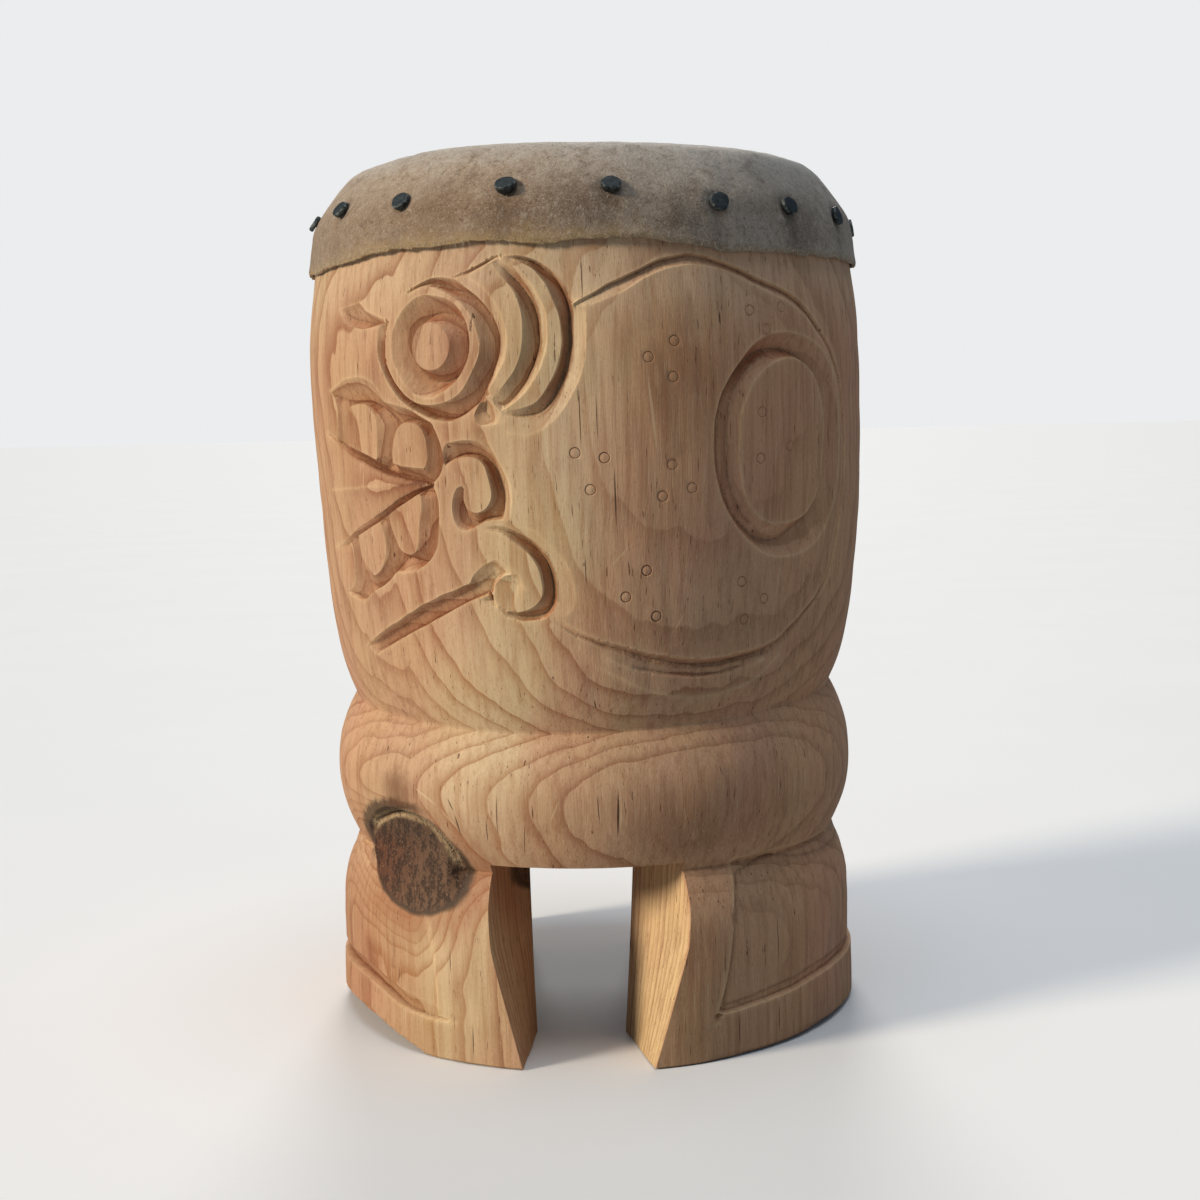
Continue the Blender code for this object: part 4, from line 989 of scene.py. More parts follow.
HIDE_LINE = np.array([            # radius and z, from the middle of the hide down to its hem
    (0, 456.6), (60, 456.3), (106, 455.4), (120.5, 453), (128.5, 448), (136.2, 438.6), (144, 427),
    (146.6, 418), (149, 404)], float)
HIDE_THICKNESS = 2.2
HEAD_FLAT = 100                   # radius within which the head is flat
TACKS = tuple(zip(                # angle from the front, in degrees, height, and how far the head leans up
    (-95, -77, -57.5, -37, -14, 6, 27, 44.5, 64, 85, 104, 123, 144, 163, -176, -156, -135, -115),
    (424, 427, 429, 428, 431, 430, 423, 423, 422, 421, 423, 425, 424, 427, 426, 424, 426, 425),
    (0.1, 0.0, 0.0, 0.05, 0.42, 0.28, 0.0, 0.1, 0.05, -0.1, 0.1, 0.0, 0.15, -0.1, 0.1, 0.0, 0.1, -0.05)))
HEM = np.array([                  # u and z of the hide's cut edge
    (-210, 402), (-188, 400), (-163, 401), (-138, 402), (-105, 406), (-76, 405), (-54, 407), (-34, 406),
    (-17, 404), (-3, 406), (28, 406), (53, 403), (77, 399), (93, 401), (125, 400), (160, 401), (205, 400),
    (270, 403), (350, 400), (420, 402), (HALF_ROUND, 401), (ROUND - 210, 402)], float)


def hem_height(u):
    """Height of the hide's cut edge at arc length u: its line, with jagged and slow noise on top."""
    turned = (u + 210) % ROUND - 210
    place = around(u, 0 * u, GIRTH)
    return np.interp(turned, HEM[:, 0], HEM[:, 1]) + 0.8 * noise(place, 3.1, 61) + 0.5 * noise(place, 9, 62)


def smooth_line(points, step):
    """The line through the points with its corners rounded, at even steps along it, and its outward
    direction at each step."""
    line = curve([tuple(p) for p in points], False, 1.0)
    run = run_along(line)
    even = np.linspace(0, run[-1], int(run[-1] / step) + 1)
    line = np.column_stack([np.interp(even, run, line[:, k]) for k in (0, 1)])
    along = np.gradient(line, axis=0)
    along /= np.hypot(*along.T)[:, None]
    return line, np.column_stack([-along[:, 1], along[:, 0]])


def seat_of(angle, height):
    """Where a tack goes through the hide: the point on the hide line at its height, and outwards."""
    radius = np.interp(height, HIDE_LINE[::-1, 1], HIDE_LINE[::-1, 0])
    k = int(np.searchsorted(-HIDE_LINE[:, 1], -height))
    fall = HIDE_LINE[k] - HIDE_LINE[k - 1]
    out, up = -fall[1] / np.hypot(*fall), fall[0] / np.hypot(*fall)
    flat = np.array([math.sin(angle), -math.cos(angle), 0])
    return flat * radius + np.array([0, 0, height]), flat * out + np.array([0, 0, up])


def add_hairs(shell):
    """Loose hairs: thin three-sided tubes that taper to a point. A hair starts on the hide, at the hem or
    anywhere above it, and its six points wander off in a bent line a little clear of the surface."""
    at_hem, loose, steps, sides = 480, 60, 6, 3
    count = at_hem + loose
    chance = np.random.default_rng(91).random((count, 8))
    hem_hair = np.arange(count) < at_hem
    u = np.where(hem_hair, -180 + 370 * chance[:, 0] ** 1.25, -150 + 330 * chance[:, 0])
    hem = hem_height(u)
    z = np.where(hem_hair, hem + 0.5 + 2.2 * chance[:, 1], hem + 8 + 34 * chance[:, 1])
    heading = np.where(hem_hair, 2.6 * (chance[:, 2] - 0.5) - math.pi / 2, 2 * math.pi * chance[:, 2])
    length = np.where(hem_hair, 1.6 + 3.2 * chance[:, 3] ** 2, 2.5 + 5 * chance[:, 3])
    bend = 2.4 * (chance[:, 4] - 0.5)
    share = np.linspace(0, 1, steps)[:, None]
    course = heading + bend * share
    path_u = u + np.cumsum(np.cos(course) * length / steps, 0)
    path_z = z + np.cumsum(np.sin(course) * length / steps, 0)
    radius = np.interp(path_z, HIDE_LINE[::-1, 1], HIDE_LINE[::-1, 0])
    clear = np.where(hem_hair, -0.1 + 0.9 * share * chance[:, 5], 0.25 + 0.5 * np.sin(math.pi * share))
    clear = clear + 0.35 * np.exp(-((path_z - hem - 1.6) / 1.7) ** 2)
    middle = around(path_u, path_z, radius + clear)
    thick = (0.055 + 0.045 * chance[:, 6]) * (1 - 0.8 * share ** 2)
    turn = np.arange(sides)[:, None] * 2 * math.pi / sides
    east, north = np.cos(path_u / GIRTH), np.sin(path_u / GIRTH)
    side = np.stack([-east * np.sin(course), -north * np.sin(course), np.cos(course)], -1)
    out = np.stack([north, -east, 0 * path_u], -1)
    ring = (middle[..., None, :] + thick[..., None, None]
            * (np.cos(turn) * side[..., None, :] + np.sin(turn) * out[..., None, :]))
    ids = shell.add(ring, one_mark(ring.shape[:3], HAIR))
    for k in range(sides):
        a, b = ids[:-1, :, k], ids[:-1, :, (k + 1) % sides]
        c, d = ids[1:, :, (k + 1) % sides], ids[1:, :, k]
        shell.triangles += [np.stack([a, b, c], -1).reshape(-1, 3), np.stack([a, c, d], -1).reshape(-1, 3)]
    shell.triangles += [ids[0, :, ::-1], ids[-1]]


def make_hide(material):
    """The hide: a disc of rays and rings that follows the hide line over the edge and down to the hem,
    puckered between the tacks and pressed in under them, with a rolled lip along the hem, an underside
    and loose hairs."""
    rays = 460
    angle = np.linspace(-math.pi, math.pi, rays, endpoint=False)
    line, outward = smooth_line(HIDE_LINE, 1.55)
    flat_part = line[:, 0] < HEAD_FLAT
    keep = ~flat_part | (np.arange(len(line)) % 4 == 2)
    line, outward = line[keep], outward[keep]
    r, z = np.repeat(line[:, :1], rays, 1), np.repeat(line[:, 1:], rays, 1)
    hem = hem_height(angle * GIRTH)
    low = np.clip((433 - z) / (433 - line[-1, 1]), 0, 1)
    z = z + low ** 1.6 * (hem - line[-1, 1])
    flat = np.stack([np.sin(angle), -np.cos(angle)], -1)[None]
    points = np.concatenate([flat * r[..., None], z[..., None]], -1)
    direction = np.concatenate([flat * outward[:, None, :1], np.repeat(outward[:, None, 1:], rays, 1)], -1)
    steep = np.clip((line[:, 0] - HEAD_FLAT) / 20, 0, 1)[:, None]
    lift = (0.34 * noise(points, 15, 71) + 0.2 * noise(points * (1, 1, 0.45), 5.2, 72)
            + 0.08 * noise(points, 1.9, 73)) * (0.35 + 0.65 * steep)

    # pressed in under each tack and raised round it, with a pleat below it
    press = np.zeros(lift.shape)
    for degrees, height, _ in TACKS:
        seat, _ = seat_of(math.radians(degrees), height)
        gap = np.linalg.norm(points - seat, axis=-1)
        press += 0.9 * np.exp(-(gap / 6.5) ** 2) - 0.4 * np.exp(-((gap - 9) / 4) ** 2)
        side = ((angle - math.radians(degrees) + math.pi) % (2 * math.pi) - math.pi)[None] * GIRTH
        press += 0.35 * np.exp(-(side / 5) ** 2) * np.clip((height - z) / 12, 0, 1)

    # a fold, a hole, the raised crown at the left front, and the lip over the hem
    turned = (angle * GIRTH)[None]
    fold = np.exp(-((turned + 66) - 0.35 * (z - 440)) ** 2 / 3.2) * np.exp(-((z - 437) / 11) ** 2)
    hole = np.exp(-((turned - 168) ** 2 + (z - 409.5) ** 2) / 1.6)
    crown = 1.8 * np.exp(-((turned + 82) / 62) ** 2) * np.exp(-((r - 112) / 17) ** 2)
    above = z - hem
    lip = np.exp(-((above - 1.6) / 1.7) ** 2) - 0.55 * np.exp(-((above - 6.2) / 1.9) ** 2)
    lip = lip * (0.55 + 0.9 * noise(points * (1, 1, 0), 16, 74))
    lip = lip * np.clip(1.15 - np.abs(turned + 75) / 130, 0.25, 1)
    lift = lift - press * steep - 0.7 * fold - 1.1 * hole + crown + 0.8 * lip
    thin = np.clip((z - hem) / 1.6, 0, 1) ** 0.5
    outside = points + direction * (lift - 0.55 * (1 - thin))[..., None]
    under = points - direction * HIDE_THICKNESS
    shell = Shell()
    marks = np.zeros(outside.shape[:2] + (4,))
    # painted shade where the hide is pressed in under the tacks
    marks[..., PRESSED_SHADE] = np.clip(press, 0, 1) * steep
    marks[..., LIP] = np.exp(-(z - hem) / 1.8)
    outer = shell.add(outside, marks)
    inner = shell.add(np.concatenate([under[::3, ::4], under[-1:, ::4]]))
    outer_closed, inner_closed = wrapped(outer), wrapped(inner)
    shell.grid(outer_closed)
    shell.grid(inner_closed)
    along = np.arange(rays + 1.0)
    middle = shell.add((outside[-1] * 0.45 + under[-1] * 0.55)[None] + direction[-1:] * 0.1, marks[-1:])
    shell.grid(np.vstack([outer_closed[-1:], wrapped(middle)]))
    shell.zip(np.append(middle[0], middle[0, 0]), inner_closed[-1], along, along[::4])
    shell.fan(outer[0], (0, 0, HIDE_LINE[0, 1]))
    shell.fan(inner[0], (0, 0, HIDE_LINE[0, 1] - HIDE_THICKNESS))
    add_hairs(shell)
    return piece("drum_hide", shell.mesh("drum_hide"), material, ["drumhead_hide"], 60)


# the third column, wear, also sets the rim's painted glint
TACK_RINGS = np.array([           # share of the head's radius, height above the hide in mm, wear
    (0.3, 2.5, 0), (0.62, 2.5, 0), (0.82, 2.46, 0), (0.91, 2.36, 0.4), (0.965, 2.14, 1), (0.99, 1.8, 1),
    (1.0, 1.3, 0.6), (0.995, 0.7, 0.3), (0.96, 0.25, 0), (0.84, 0.1, 0), (0.24, 0.1, 0), (0.235, -4.0, 0),
    (0.06, -8.6, 0)])
TACK_POINTS = 28                  # points round each ring
TACK_LENGTH = 9.0                 # of the shank below the hide


def make_tack(number, degrees, height, lean, material):
    """One tack: rings of points from the middle of its flat hammered head over the worn rim to the
    underside, and its shank, which tapers to a point in the wood. The head leans up on its shank."""
    angle = math.radians(degrees)
    seat, out = seat_of(angle, height)
    side = np.array([math.cos(angle), math.sin(angle), 0])
    up = np.cross(out, side)
    chance = lattice(np.array([[number, k, 0] for k in range(4)]), 81)
    size = 4.75 + 0.3 * chance[2] + 0.8 * lean
    turn = np.linspace(0, 2 * math.pi, TACK_POINTS, endpoint=False)
    uneven = (1 + 0.045 * np.sin(2 * turn + number) + 0.03 * np.sin(3 * turn + 1.7 * number)
              + 0.022 * np.sin(5 * turn) + 0.015 * np.sin(8 * turn + 2.3 * number))
    r = TACK_RINGS[:, :1] * size * uneven
    h = np.repeat(TACK_RINGS[:, 1:2], TACK_POINTS, 1)
    x, y = r * np.cos(turn), r * np.sin(turn)
    local = np.stack([x, y, 0 * x + 7.7 * number], -1)
    head = np.clip((h - 0.6) / 1.2, 0, 1)
    h = h + head * (0.16 * noise(local, 3.1, 82) + 0.1 * noise(local, 1.3, 83))
    beaten = number * 2.1             # the side on which the hammer beat the head lower
    h = h - 0.35 * head * np.clip((x * math.cos(beaten) + y * math.sin(beaten)) / size, 0, 1) ** 2
    tilt = (lean + 0.2 * (chance[0] - 0.4)) * (size * 0.9 - y) + 0.12 * (chance[1] - 0.5) * x
    h = h + np.clip(TACK_RINGS[:, 1:2], 0, 0.5) * 2 * tilt
    points = seat + x[..., None] * side + y[..., None] * up + h[..., None] * out
    shell = Shell()
    # wear of the rim, with its painted glint
    rows = shell.add(points, one_mark(points.shape[:2], RIM_WEAR_AND_GLINT) * TACK_RINGS[:, None, 2:])
    shell.grid(wrapped(rows))
    shell.fan(rows[0], points[0].mean(0) + 0.03 * out)
    shell.fan(rows[-1], seat - TACK_LENGTH * out)
    name = f"tack_{number:02d}"
    return piece(f"iron_{name}", shell.mesh(f"iron_{name}"), material, [name], 40)


# ================================================================ finishes

class Value:
    """A number worked out by shader nodes, which is added to, multiplied and so on like a plain one."""

    def __init__(self, nodes, socket):
        self.nodes, self.socket = nodes, socket


def add_sign(name, operation):
    """Gives Value one sign, with the other number after it or before it."""
    setattr(Value, f"__{name}__", lambda a, b=0.0: a.nodes.math(operation, a, b))
    setattr(Value, f"__r{name}__", lambda b, a: b.nodes.math(operation, a, b))


for name, operation in (("add", "ADD"), ("sub", "SUBTRACT"), ("mul", "MULTIPLY"), ("truediv", "DIVIDE"),
                        ("pow", "POWER"), ("abs", "ABSOLUTE")):
    add_sign(name, operation)


def colour(hex_code):
    """Linear colour of an sRGB hex code."""
    channels = [int(hex_code[i:i + 2], 16) / 255 for i in (0, 2, 4)]
    return tuple(c / 12.92 if c < 0.04045 else ((c + 0.055) / 1.055) ** 2.4 for c in channels)


class Nodes:
    """Short ways to add shader nodes to one tree and join them."""

    def __init__(self, tree):
        self.tree = tree

    def add(self, kind, inputs=(), **settings):
        """A new node, with values or other nodes' outputs for its inputs."""
        node = self.tree.nodes.new("ShaderNode" + kind)
        for name, value in settings.items():
            setattr(node, name, value)
        for socket, value in dict(inputs).items():
            self.put(node.inputs[socket], value)
        return node

    def put(self, socket, value):
        """Sets an input to a constant, or joins an output to it."""
        value = value.socket if isinstance(value, Value) else value
        if isinstance(value, bpy.types.NodeSocket):
            self.tree.links.new(value, socket)
        else:
            socket.default_value = value

    def math(self, operation, a, b=0.0, c=0.0):
        return Value(self, self.add("Math", {0: a, 1: b, 2: c}, operation=operation).outputs[0])

    def vector(self, operation, a, b=(0, 0, 0)):
        node = self.add("VectorMath", {0: a}, operation=operation)
        self.put(node.inputs[3] if operation == "SCALE" else node.inputs[1], b)
        return Value(self, node.outputs[int(operation in ("DOT_PRODUCT", "DISTANCE"))])

    def axes(self, vector):
        """The x, y and z of a vector."""
        return [Value(self, output) for output in self.add("SeparateXYZ", {0: vector}).outputs]

    def marks(self):
        """The four channels of the marks that the mesh carries."""
        node = self.add("Attribute", attribute_name="marks")
        split = self.add("SeparateColor", {0: node.outputs["Color"]})
        return [Value(self, output) for output in (*split.outputs, node.outputs["Alpha"])]

    def mapped(self, vector, scale, location=(0, 0, 0)):
        """The vector times the scale, moved by the location."""
        return self.add("Mapping", {"Vector": vector, "Scale": scale, "Location": location}).outputs[0]

    def noise(self, vector, scale, detail=3.0, rough=0.5, location=(0, 0, 0)):
        """Noise about 0.5, and the colour of three such noises. The scale is one number or three."""
        scale = scale if isinstance(scale, tuple) else (scale,) * 3
        node = self.add("TexNoise", {"Vector": self.mapped(vector, scale, location), "Scale": 1.0,
                                     "Detail": detail, "Roughness": rough})
        return Value(self, node.outputs["Fac"]), node.outputs["Color"]

    def between(self, value, low, high, smooth=True):
        """0 below low, 1 above high, and the other way round where low is the larger."""
        node = self.add("MapRange", {"Value": value, "From Min": low, "From Max": high},
                        interpolation_type="SMOOTHSTEP" if smooth else "LINEAR")
        return Value(self, node.outputs[0])

    def mix(self, share, a, b, blend="MIX"):
        """The colour a where the share is 0, and b, or its blend with a, where it is 1."""
        node = self.add("Mix", data_type="RGBA", blend_type=blend)
        self.put(node.inputs[0], share)
        for socket, paint in ((node.inputs[6], a), (node.inputs[7], b)):
            paint = colour(paint) if isinstance(paint, str) else paint
            self.put(socket, (*paint, 1.0) if isinstance(paint, tuple) else paint)
        return node.outputs[2]

    def bump(self, height, strength, distance):
        """The normal bent as if the surface stood out by the height."""
        return self.add("Bump", {"Strength": strength, "Distance": distance, "Height": height}).outputs[0]


def new_material(name):
    """An empty material with its Principled shader, and the place in mm on the piece."""
    material = bpy.data.materials.new(name)
    material.use_nodes = True
    n = Nodes(material.node_tree)
    n.tree.nodes.clear()
    shader = n.add("BsdfPrincipled")
    output = n.add("OutputMaterial", {"Surface": shader.outputs[0]})
    output.is_active_output = True
    place = n.mapped(n.add("TexCoord").outputs["Object"], (1 / MM,) * 3)
    return material, n, shader, place


def finish(material, n, shader, **values):
    """Sets the shader's inputs by name, and returns the material."""
    for name, value in values.items():
        n.put(shader.inputs[name.replace("_", " ")], value)
    return material


SLITS = (                         # drying cracks: u, z of both ends, widest half width
    (-80.7, 136.2, -76.7, 128.3, 0.45), (-76.7, 128.8, -74.1, 115.3, 0.5),
    (-57.7, 127.7, -58.6, 113, 0.4), (-50.7, 141.5, -52, 116.9, 0.35), (1.6, 141.2, 2.9, 123.6, 0.35),
    (12.7, 143.3, 12, 115.5, 0.8), (-36.1, 127, -38.7, 104.5, 0.25), (0, 400, 0.4, 374, 0.35),
    (5.5, 336, 6, 309, 0.3), (-2.5, 341, -2, 304, 0.35), (-1.5, 259, -1, 239, 0.35),
    (13.5, 301, 14.2, 267, 0.5), (68, 372, 68.4, 364, 0.6), (77, 26, 77.5, 4, 0.4),
    (105, 25, 105.3, 5, 0.4), (107, 71, 106.6, 40, 0.35), (-81.5, 60, -81.3, 45, 0.35),
    (-68.7, 23, -69.1, 3, 0.4), (-134, 15, -135.5, 0, 0.4), (1.4, 186, 2.4, 180.5, 0.5),
    (-123.9, 178, -118.2, 171.5, 0.4))
SCRATCHES = (                     # pale scratches, in the same way
    (14.2, 142, 13.6, 117, 0.6), (-17.2, 138.4, -23.5, 124.7, 0.5), (30, 345, 35, 300, 0.9),
    (22, 262, 10, 250, 0.5), (50, 228, 42, 216, 0.5), (-104, 139.6, -86, 130.4, 0.9),
    (-86, 130.4, -75, 119.5, 0.7))
PITH = (-20.0, 43.0)              # x and y of the middle of the tree, in mm
RING = 4.4                        # width of a growth ring, in mm
KNOT_OUT = 139.0                  # how far out the middle of the knot lies


def slits(n, place, outside, lines):
    """Where the lines are, 0 to 1. In (u, z), each has a along it, from -1 to 1 between its ends, and b
    across it, 1 at its widest half width, and fills the pointed oval in which aa + |b| is under 1."""
    x, y, z = n.axes(place)
    flat = n.add("CombineXYZ", {0: n.math("ARCTAN2", x, y * -1) * GIRTH, 1: z}).outputs[0]
    least = 9.0
    for u0, z0, u1, z1, wide in lines:
        from_middle = n.vector("SUBTRACT", flat, ((u0 + u1) / 2, (z0 + z1) / 2, 0))
        half_u, half_z = (u1 - u0) / 2, (z1 - z0) / 2
        long = math.hypot(half_u, half_z)
        along = n.vector("DOT_PRODUCT", from_middle, (half_u / long ** 2, half_z / long ** 2, 0))
        across = n.vector("DOT_PRODUCT", from_middle, (half_z / long / wide, -half_u / long / wide, 0))
        least = n.math("MINIMUM", least, n.math("MULTIPLY_ADD", along, along, abs(across)))
    return n.between(least, 1.0, 0.45) * outside


def growth_rings(n, place, knot_share, across, upright):
    """How dark the late wood is, 0 to 1: rings round the pith, of uneven width, bent by slow noise and
    narrower on the left. They follow the underside of the bulge, and are pushed outwards by the knot."""
    x, _, z = n.axes(place)
    _, slow = n.noise(place, (0.010, 0.010, 0.0026), 1.0)
    _, quick = n.noise(place, (0.05, 0.05, 0.012), 2, location=(7, 3, 1))
    bend = n.vector("SCALE", n.vector("SUBTRACT", slow, (0.5, 0.5, 0.5)), 9.0)
    bend = n.vector("ADD", bend, n.vector("SCALE", n.vector("SUBTRACT", quick, (0.5, 0.5, 0.5)), 2.6))
    bent_place = n.vector("MULTIPLY", n.vector("ADD", place, bend), (1, 1, 0))
    radius = n.vector("DISTANCE", bent_place, (*PITH, 0))
    growth, _ = n.noise(n.add("CombineXYZ", {0: radius}).outputs[0], (0.1, 1, 1), 1)
    pushed = knot_share ** 1.6 * n.between(across, 1.2, -0.3) * n.between(upright, 1.6, 0.2)
    radius = (radius + growth * 6 + n.between(x, -92, -150, False) * 18
              + n.between(z, 137, 97, False) ** 2.15 * 7.5 - pushed * 20)
    ring = radius / RING
    part = n.math("FRACT", ring)
    year, _ = n.noise(n.add("CombineXYZ", {0: n.math("FLOOR", ring)}).outputs[0], (3.1, 1, 1), 0)
    late = n.between(part, 0.1, 0.95, False) ** 3.2 * n.between(part, 1.0, 0.965)
    return late * (0.35 + n.between(year, 0.3, 0.7) * 0.65)


def knot_wood(n, wood, place, away, across, upright, outside, cloud, grain):
    """The wood with the knot in it: reddish wood round it, its own dark cracked wood with a painted
    highlight along a ridge, bark at its upper left, a dark rim, and painted shadow in the gap at the top."""
    halo = n.between(away, 1.75, 1.0) * n.between(cloud, 0.3, 0.6)
    wood = n.mix(halo * outside * 0.55, wood, "9c5731")
    curl, _ = n.noise(place, 0.9, 4, 0.7, (3, 1, 1))
    side = across * 0.7 - upright * 0.45
    knot = n.mix(n.between(side, -0.5, 0.5), "643a25", "735540")
    knot = n.mix(n.between(upright, 0.05, 0.6) * 0.8, knot, "584231")
    knot = n.mix(n.between(grain, 0.44, 0.56) * 0.7, knot, "1f120b")
    knot = n.mix(n.between(curl, 0.55, 0.66) * 0.42, knot, "a98a66")
    ring = n.math("FRACT", (away + curl * 0.12) * 7)
    knot = n.mix(n.between(ring, 0.75, 0.98) * 0.18, knot, "301a10")
    # painted highlight along the ridge under the gap
    ridge_highlight = n.between(away, 0.76, 0.81) * n.between(away, 0.87, 0.83)
    ridge_highlight = ridge_highlight * n.between(upright, 0.1, 0.5) * n.between(grain, 0.4, 0.55)
    knot = n.mix(ridge_highlight * 0.6, knot, "b1956f")
    wood = n.mix(n.between(away, 1.04, 0.98) * outside, wood, knot)
    edge = n.between(away, 0.9, 1.0)
    bark = n.between(away + grain * 0.2, 1.36, 1.2) * n.between(upright * 0.75 - across * 0.6, 0.3, 0.7)
    rim = edge * n.between(away, 1.08, 1.01) * n.between(side, -0.6, 0)
    bark = n.math("MAXIMUM", bark * edge * 0.85, rim * 0.7) * outside
    wood = n.mix(bark, wood, n.mix(n.between(grain, 0.35, 0.65), "3a2c21", "5d4a39"))
    # painted shadow in the gap under the bulge's lip
    gap = n.between(away, 0.87, 0.91) * n.between(away, 0.985, 0.95) * n.between(upright, 0.2, 0.5) * outside
    return n.mix(gap * 0.65, wood, "1d120b")


def pine_finish():
    """Pine: growth rings, fine upright fibre and resin streaks, the knot, redder end grain with painted
    shade on the steep walls and deep hollows of the cuts, grime with painted shade along their bottoms,
    wear with painted highlights on the edges, cracks and scratches."""
    material, n, shader, place = new_material("carved_pine")
    # grime with painted shade, wear with painted highlight, the inside, and steep walls with painted shade
    grime_and_shade, wear_and_highlight, inner, steep = n.marks()
    x, y, z = n.axes(place)

    # the knot: distance from its axis, 1 at its edge
    turn = KNOT_U / GIRTH
    from_knot = n.vector("SUBTRACT", place, (KNOT_OUT * math.sin(turn), -KNOT_OUT * math.cos(turn), KNOT_Z))
    across = n.vector("DOT_PRODUCT", from_knot, (math.cos(turn) / KNOT_WIDE, math.sin(turn) / KNOT_WIDE, 0))
    upright = n.vector("DOT_PRODUCT", from_knot, (0, 0, 1 / KNOT_HIGH))
    across = across + n.math("MINIMUM", upright, 0) * KNOT_SLANT
    outwards = n.vector("DOT_PRODUCT", from_knot, (math.sin(turn), -math.cos(turn), 0))
    bent, _ = n.noise(place, 0.06, 2)
    away = n.math("SQRT", across * across + upright * upright) + (bent - 0.5) * 0.16
    outside = n.between(outwards, -120, -90)
    late = growth_rings(n, place, n.between(away, 2.6, 0.9) * outside, across, upright)

    # fibre, flecks and streaks along the tree
    fibre, _ = n.noise(place, (1.0, 1.0, 0.035), 3, 0.62)
    strand, _ = n.noise(place, (0.3, 0.3, 0.012), 3, 0.55, (3, 9, 4))
    fleck, _ = n.noise(place, (1.5, 1.5, 0.5), 3, 0.6, (1, 7, 3))
    streak, _ = n.noise(place, (1.25, 1.25, 0.07), 1, 0.5, (5, 2, 8))
    thick, _ = n.noise(place, (0.5, 0.5, 0.05), 1, 0.5, (2, 2, 3))
    resin = n.math("MAXIMUM", n.between(streak, 0.7, 0.74) * n.between(strand, 0.42, 0.54),
                   n.between(thick, 0.75, 0.775) * n.between(fleck, 0.35, 0.5))

    # the wood's tone: browner to the right, pale down the front, paler up high and red on the left leg;
    #     and painted light, bright yellow, on the right side of the front slot, which faces the key light
    cloud, tints = n.noise(place, (0.02, 0.02, 0.011), 2, 0.5, (1, 4, 2))
    strayed = x + (cloud - 0.5) * 60
    brown = n.between(x + (cloud - 0.5) * 12, 15, 26) * 0.3 + n.between(strayed, 32, 92) * 0.7
    from_pale = abs(strayed + 14 - n.math("MINIMUM", z - 300, 0) * 0.27)
    pale = n.between(from_pale, 44, 6) * n.between(y, 0, -60)
    base = n.mix(pale, "d2a883", "dfc39b")
    base = n.mix(brown, base, "d1a07b")
    base = n.mix(n.between(z + cloud * 60, 385, 430) * 0.6, base, "dcc0a0")
    base = n.mix(n.between(z, 98, 72) * n.between(strayed, -74, -96) * 0.6, base, "bb8861")
    # painted light: the right side of the front slot, which faces the key light, painted bright yellow
    sawn = inner * n.between(x, 0, 8) * n.between(z, 112, 96) * n.between(y, -60, -100)
    base = n.mix(sawn * 0.8, base, "f0cf9c")
    dark = n.mix(brown, n.mix(pale, "99603f", "ac7747"), "8d5f42")
    wood = n.mix(late * (0.95 - brown * 0.4), base, dark)
    for field, low, high, share, paint in (
            (strand, 0.4, 0.75, 0.4, dark), (fibre, 0.52, 0.8, 0.4, dark), (fibre, 0.45, 0.2, 0.4, "efd9b6"),
            (fleck, 0.55, 0.75, 0.38, "7d5233"), (fleck, 0.42, 0.25, 0.25, "f0dcbc")):
        wood = n.mix(n.between(field, low, high) * share, wood, paint)
    wood = n.mix(0.16, wood, tints, "SOFT_LIGHT")
    wood = n.mix(resin * 0.8, wood, "512c15")
    grain, _ = n.noise(place, (0.24, 0.24, 0.14), 4, 0.75)
    wood = knot_wood(n, wood, place, away, across, upright, outside, cloud, grain)

    # the smudge over the knot, painted shade in the cuts, wear with painted highlights on the edges, cracks
    # and scratches
    sound = 1 - n.between(away, 1.04, 0.98) * outside
    smudge = n.vector("DISTANCE", place, tuple(around(-117.0, 134.0, 141.0)))
    smudge = n.between(smudge + grain * 12, 24, 9) * outside
    wood = n.mix(smudge * sound * 0.6, wood, "6a4226")
    # steep cut walls and deep hollows: redder end grain and painted shade, multiplied in
    wood = n.mix(steep * sound * 0.9, wood, (0.68, 0.44, 0.34), "MULTIPLY")
    cracks, scratches = slits(n, place, 1 - inner, SLITS), slits(n, place, 1 - inner, SCRATCHES)
    # grime and painted shade along the bottoms of the cuts, and wear with painted highlights on the edges
    for share, paint in ((grime_and_shade ** 1.6 * n.between(fleck, 0.2, 0.6) * 0.5, "4a2a16"),
                         (wear_and_highlight * n.between(fleck, 0.3, 0.6) * 0.45, "f3d3a4"),
                         (scratches * 0.4, "ecd3a8"), (cracks * 0.85, "2c170c")):
        wood = n.mix(share, wood, paint)

    # fine relief: pores, fibre and torn wood in the cuts
    pore, _ = n.noise(place, (1.8, 1.8, 0.09), 2, 0.6, (2, 2, 6))
    torn, _ = n.noise(place, (0.8, 0.8, 0.3), 2, 0.6, (8, 1, 1))
    height = pore * 0.13 + fibre * 0.13 + torn * (inner + grime_and_shade) * 0.35
    return finish(material, n, shader, Base_Color=wood, Roughness=0.6 + fibre * 0.22,
                  Specular_IOR_Level=0.35, Normal=n.bump(height, 0.9, 0.001))


SPOTS = (                         # soft dark patches of the hide: u, z, radius and strength
    (2, 424, 30, 0.45), (48, 412, 24, 0.3), (128, 414, 24, 0.5), (-42, 419, 20, 0.2))


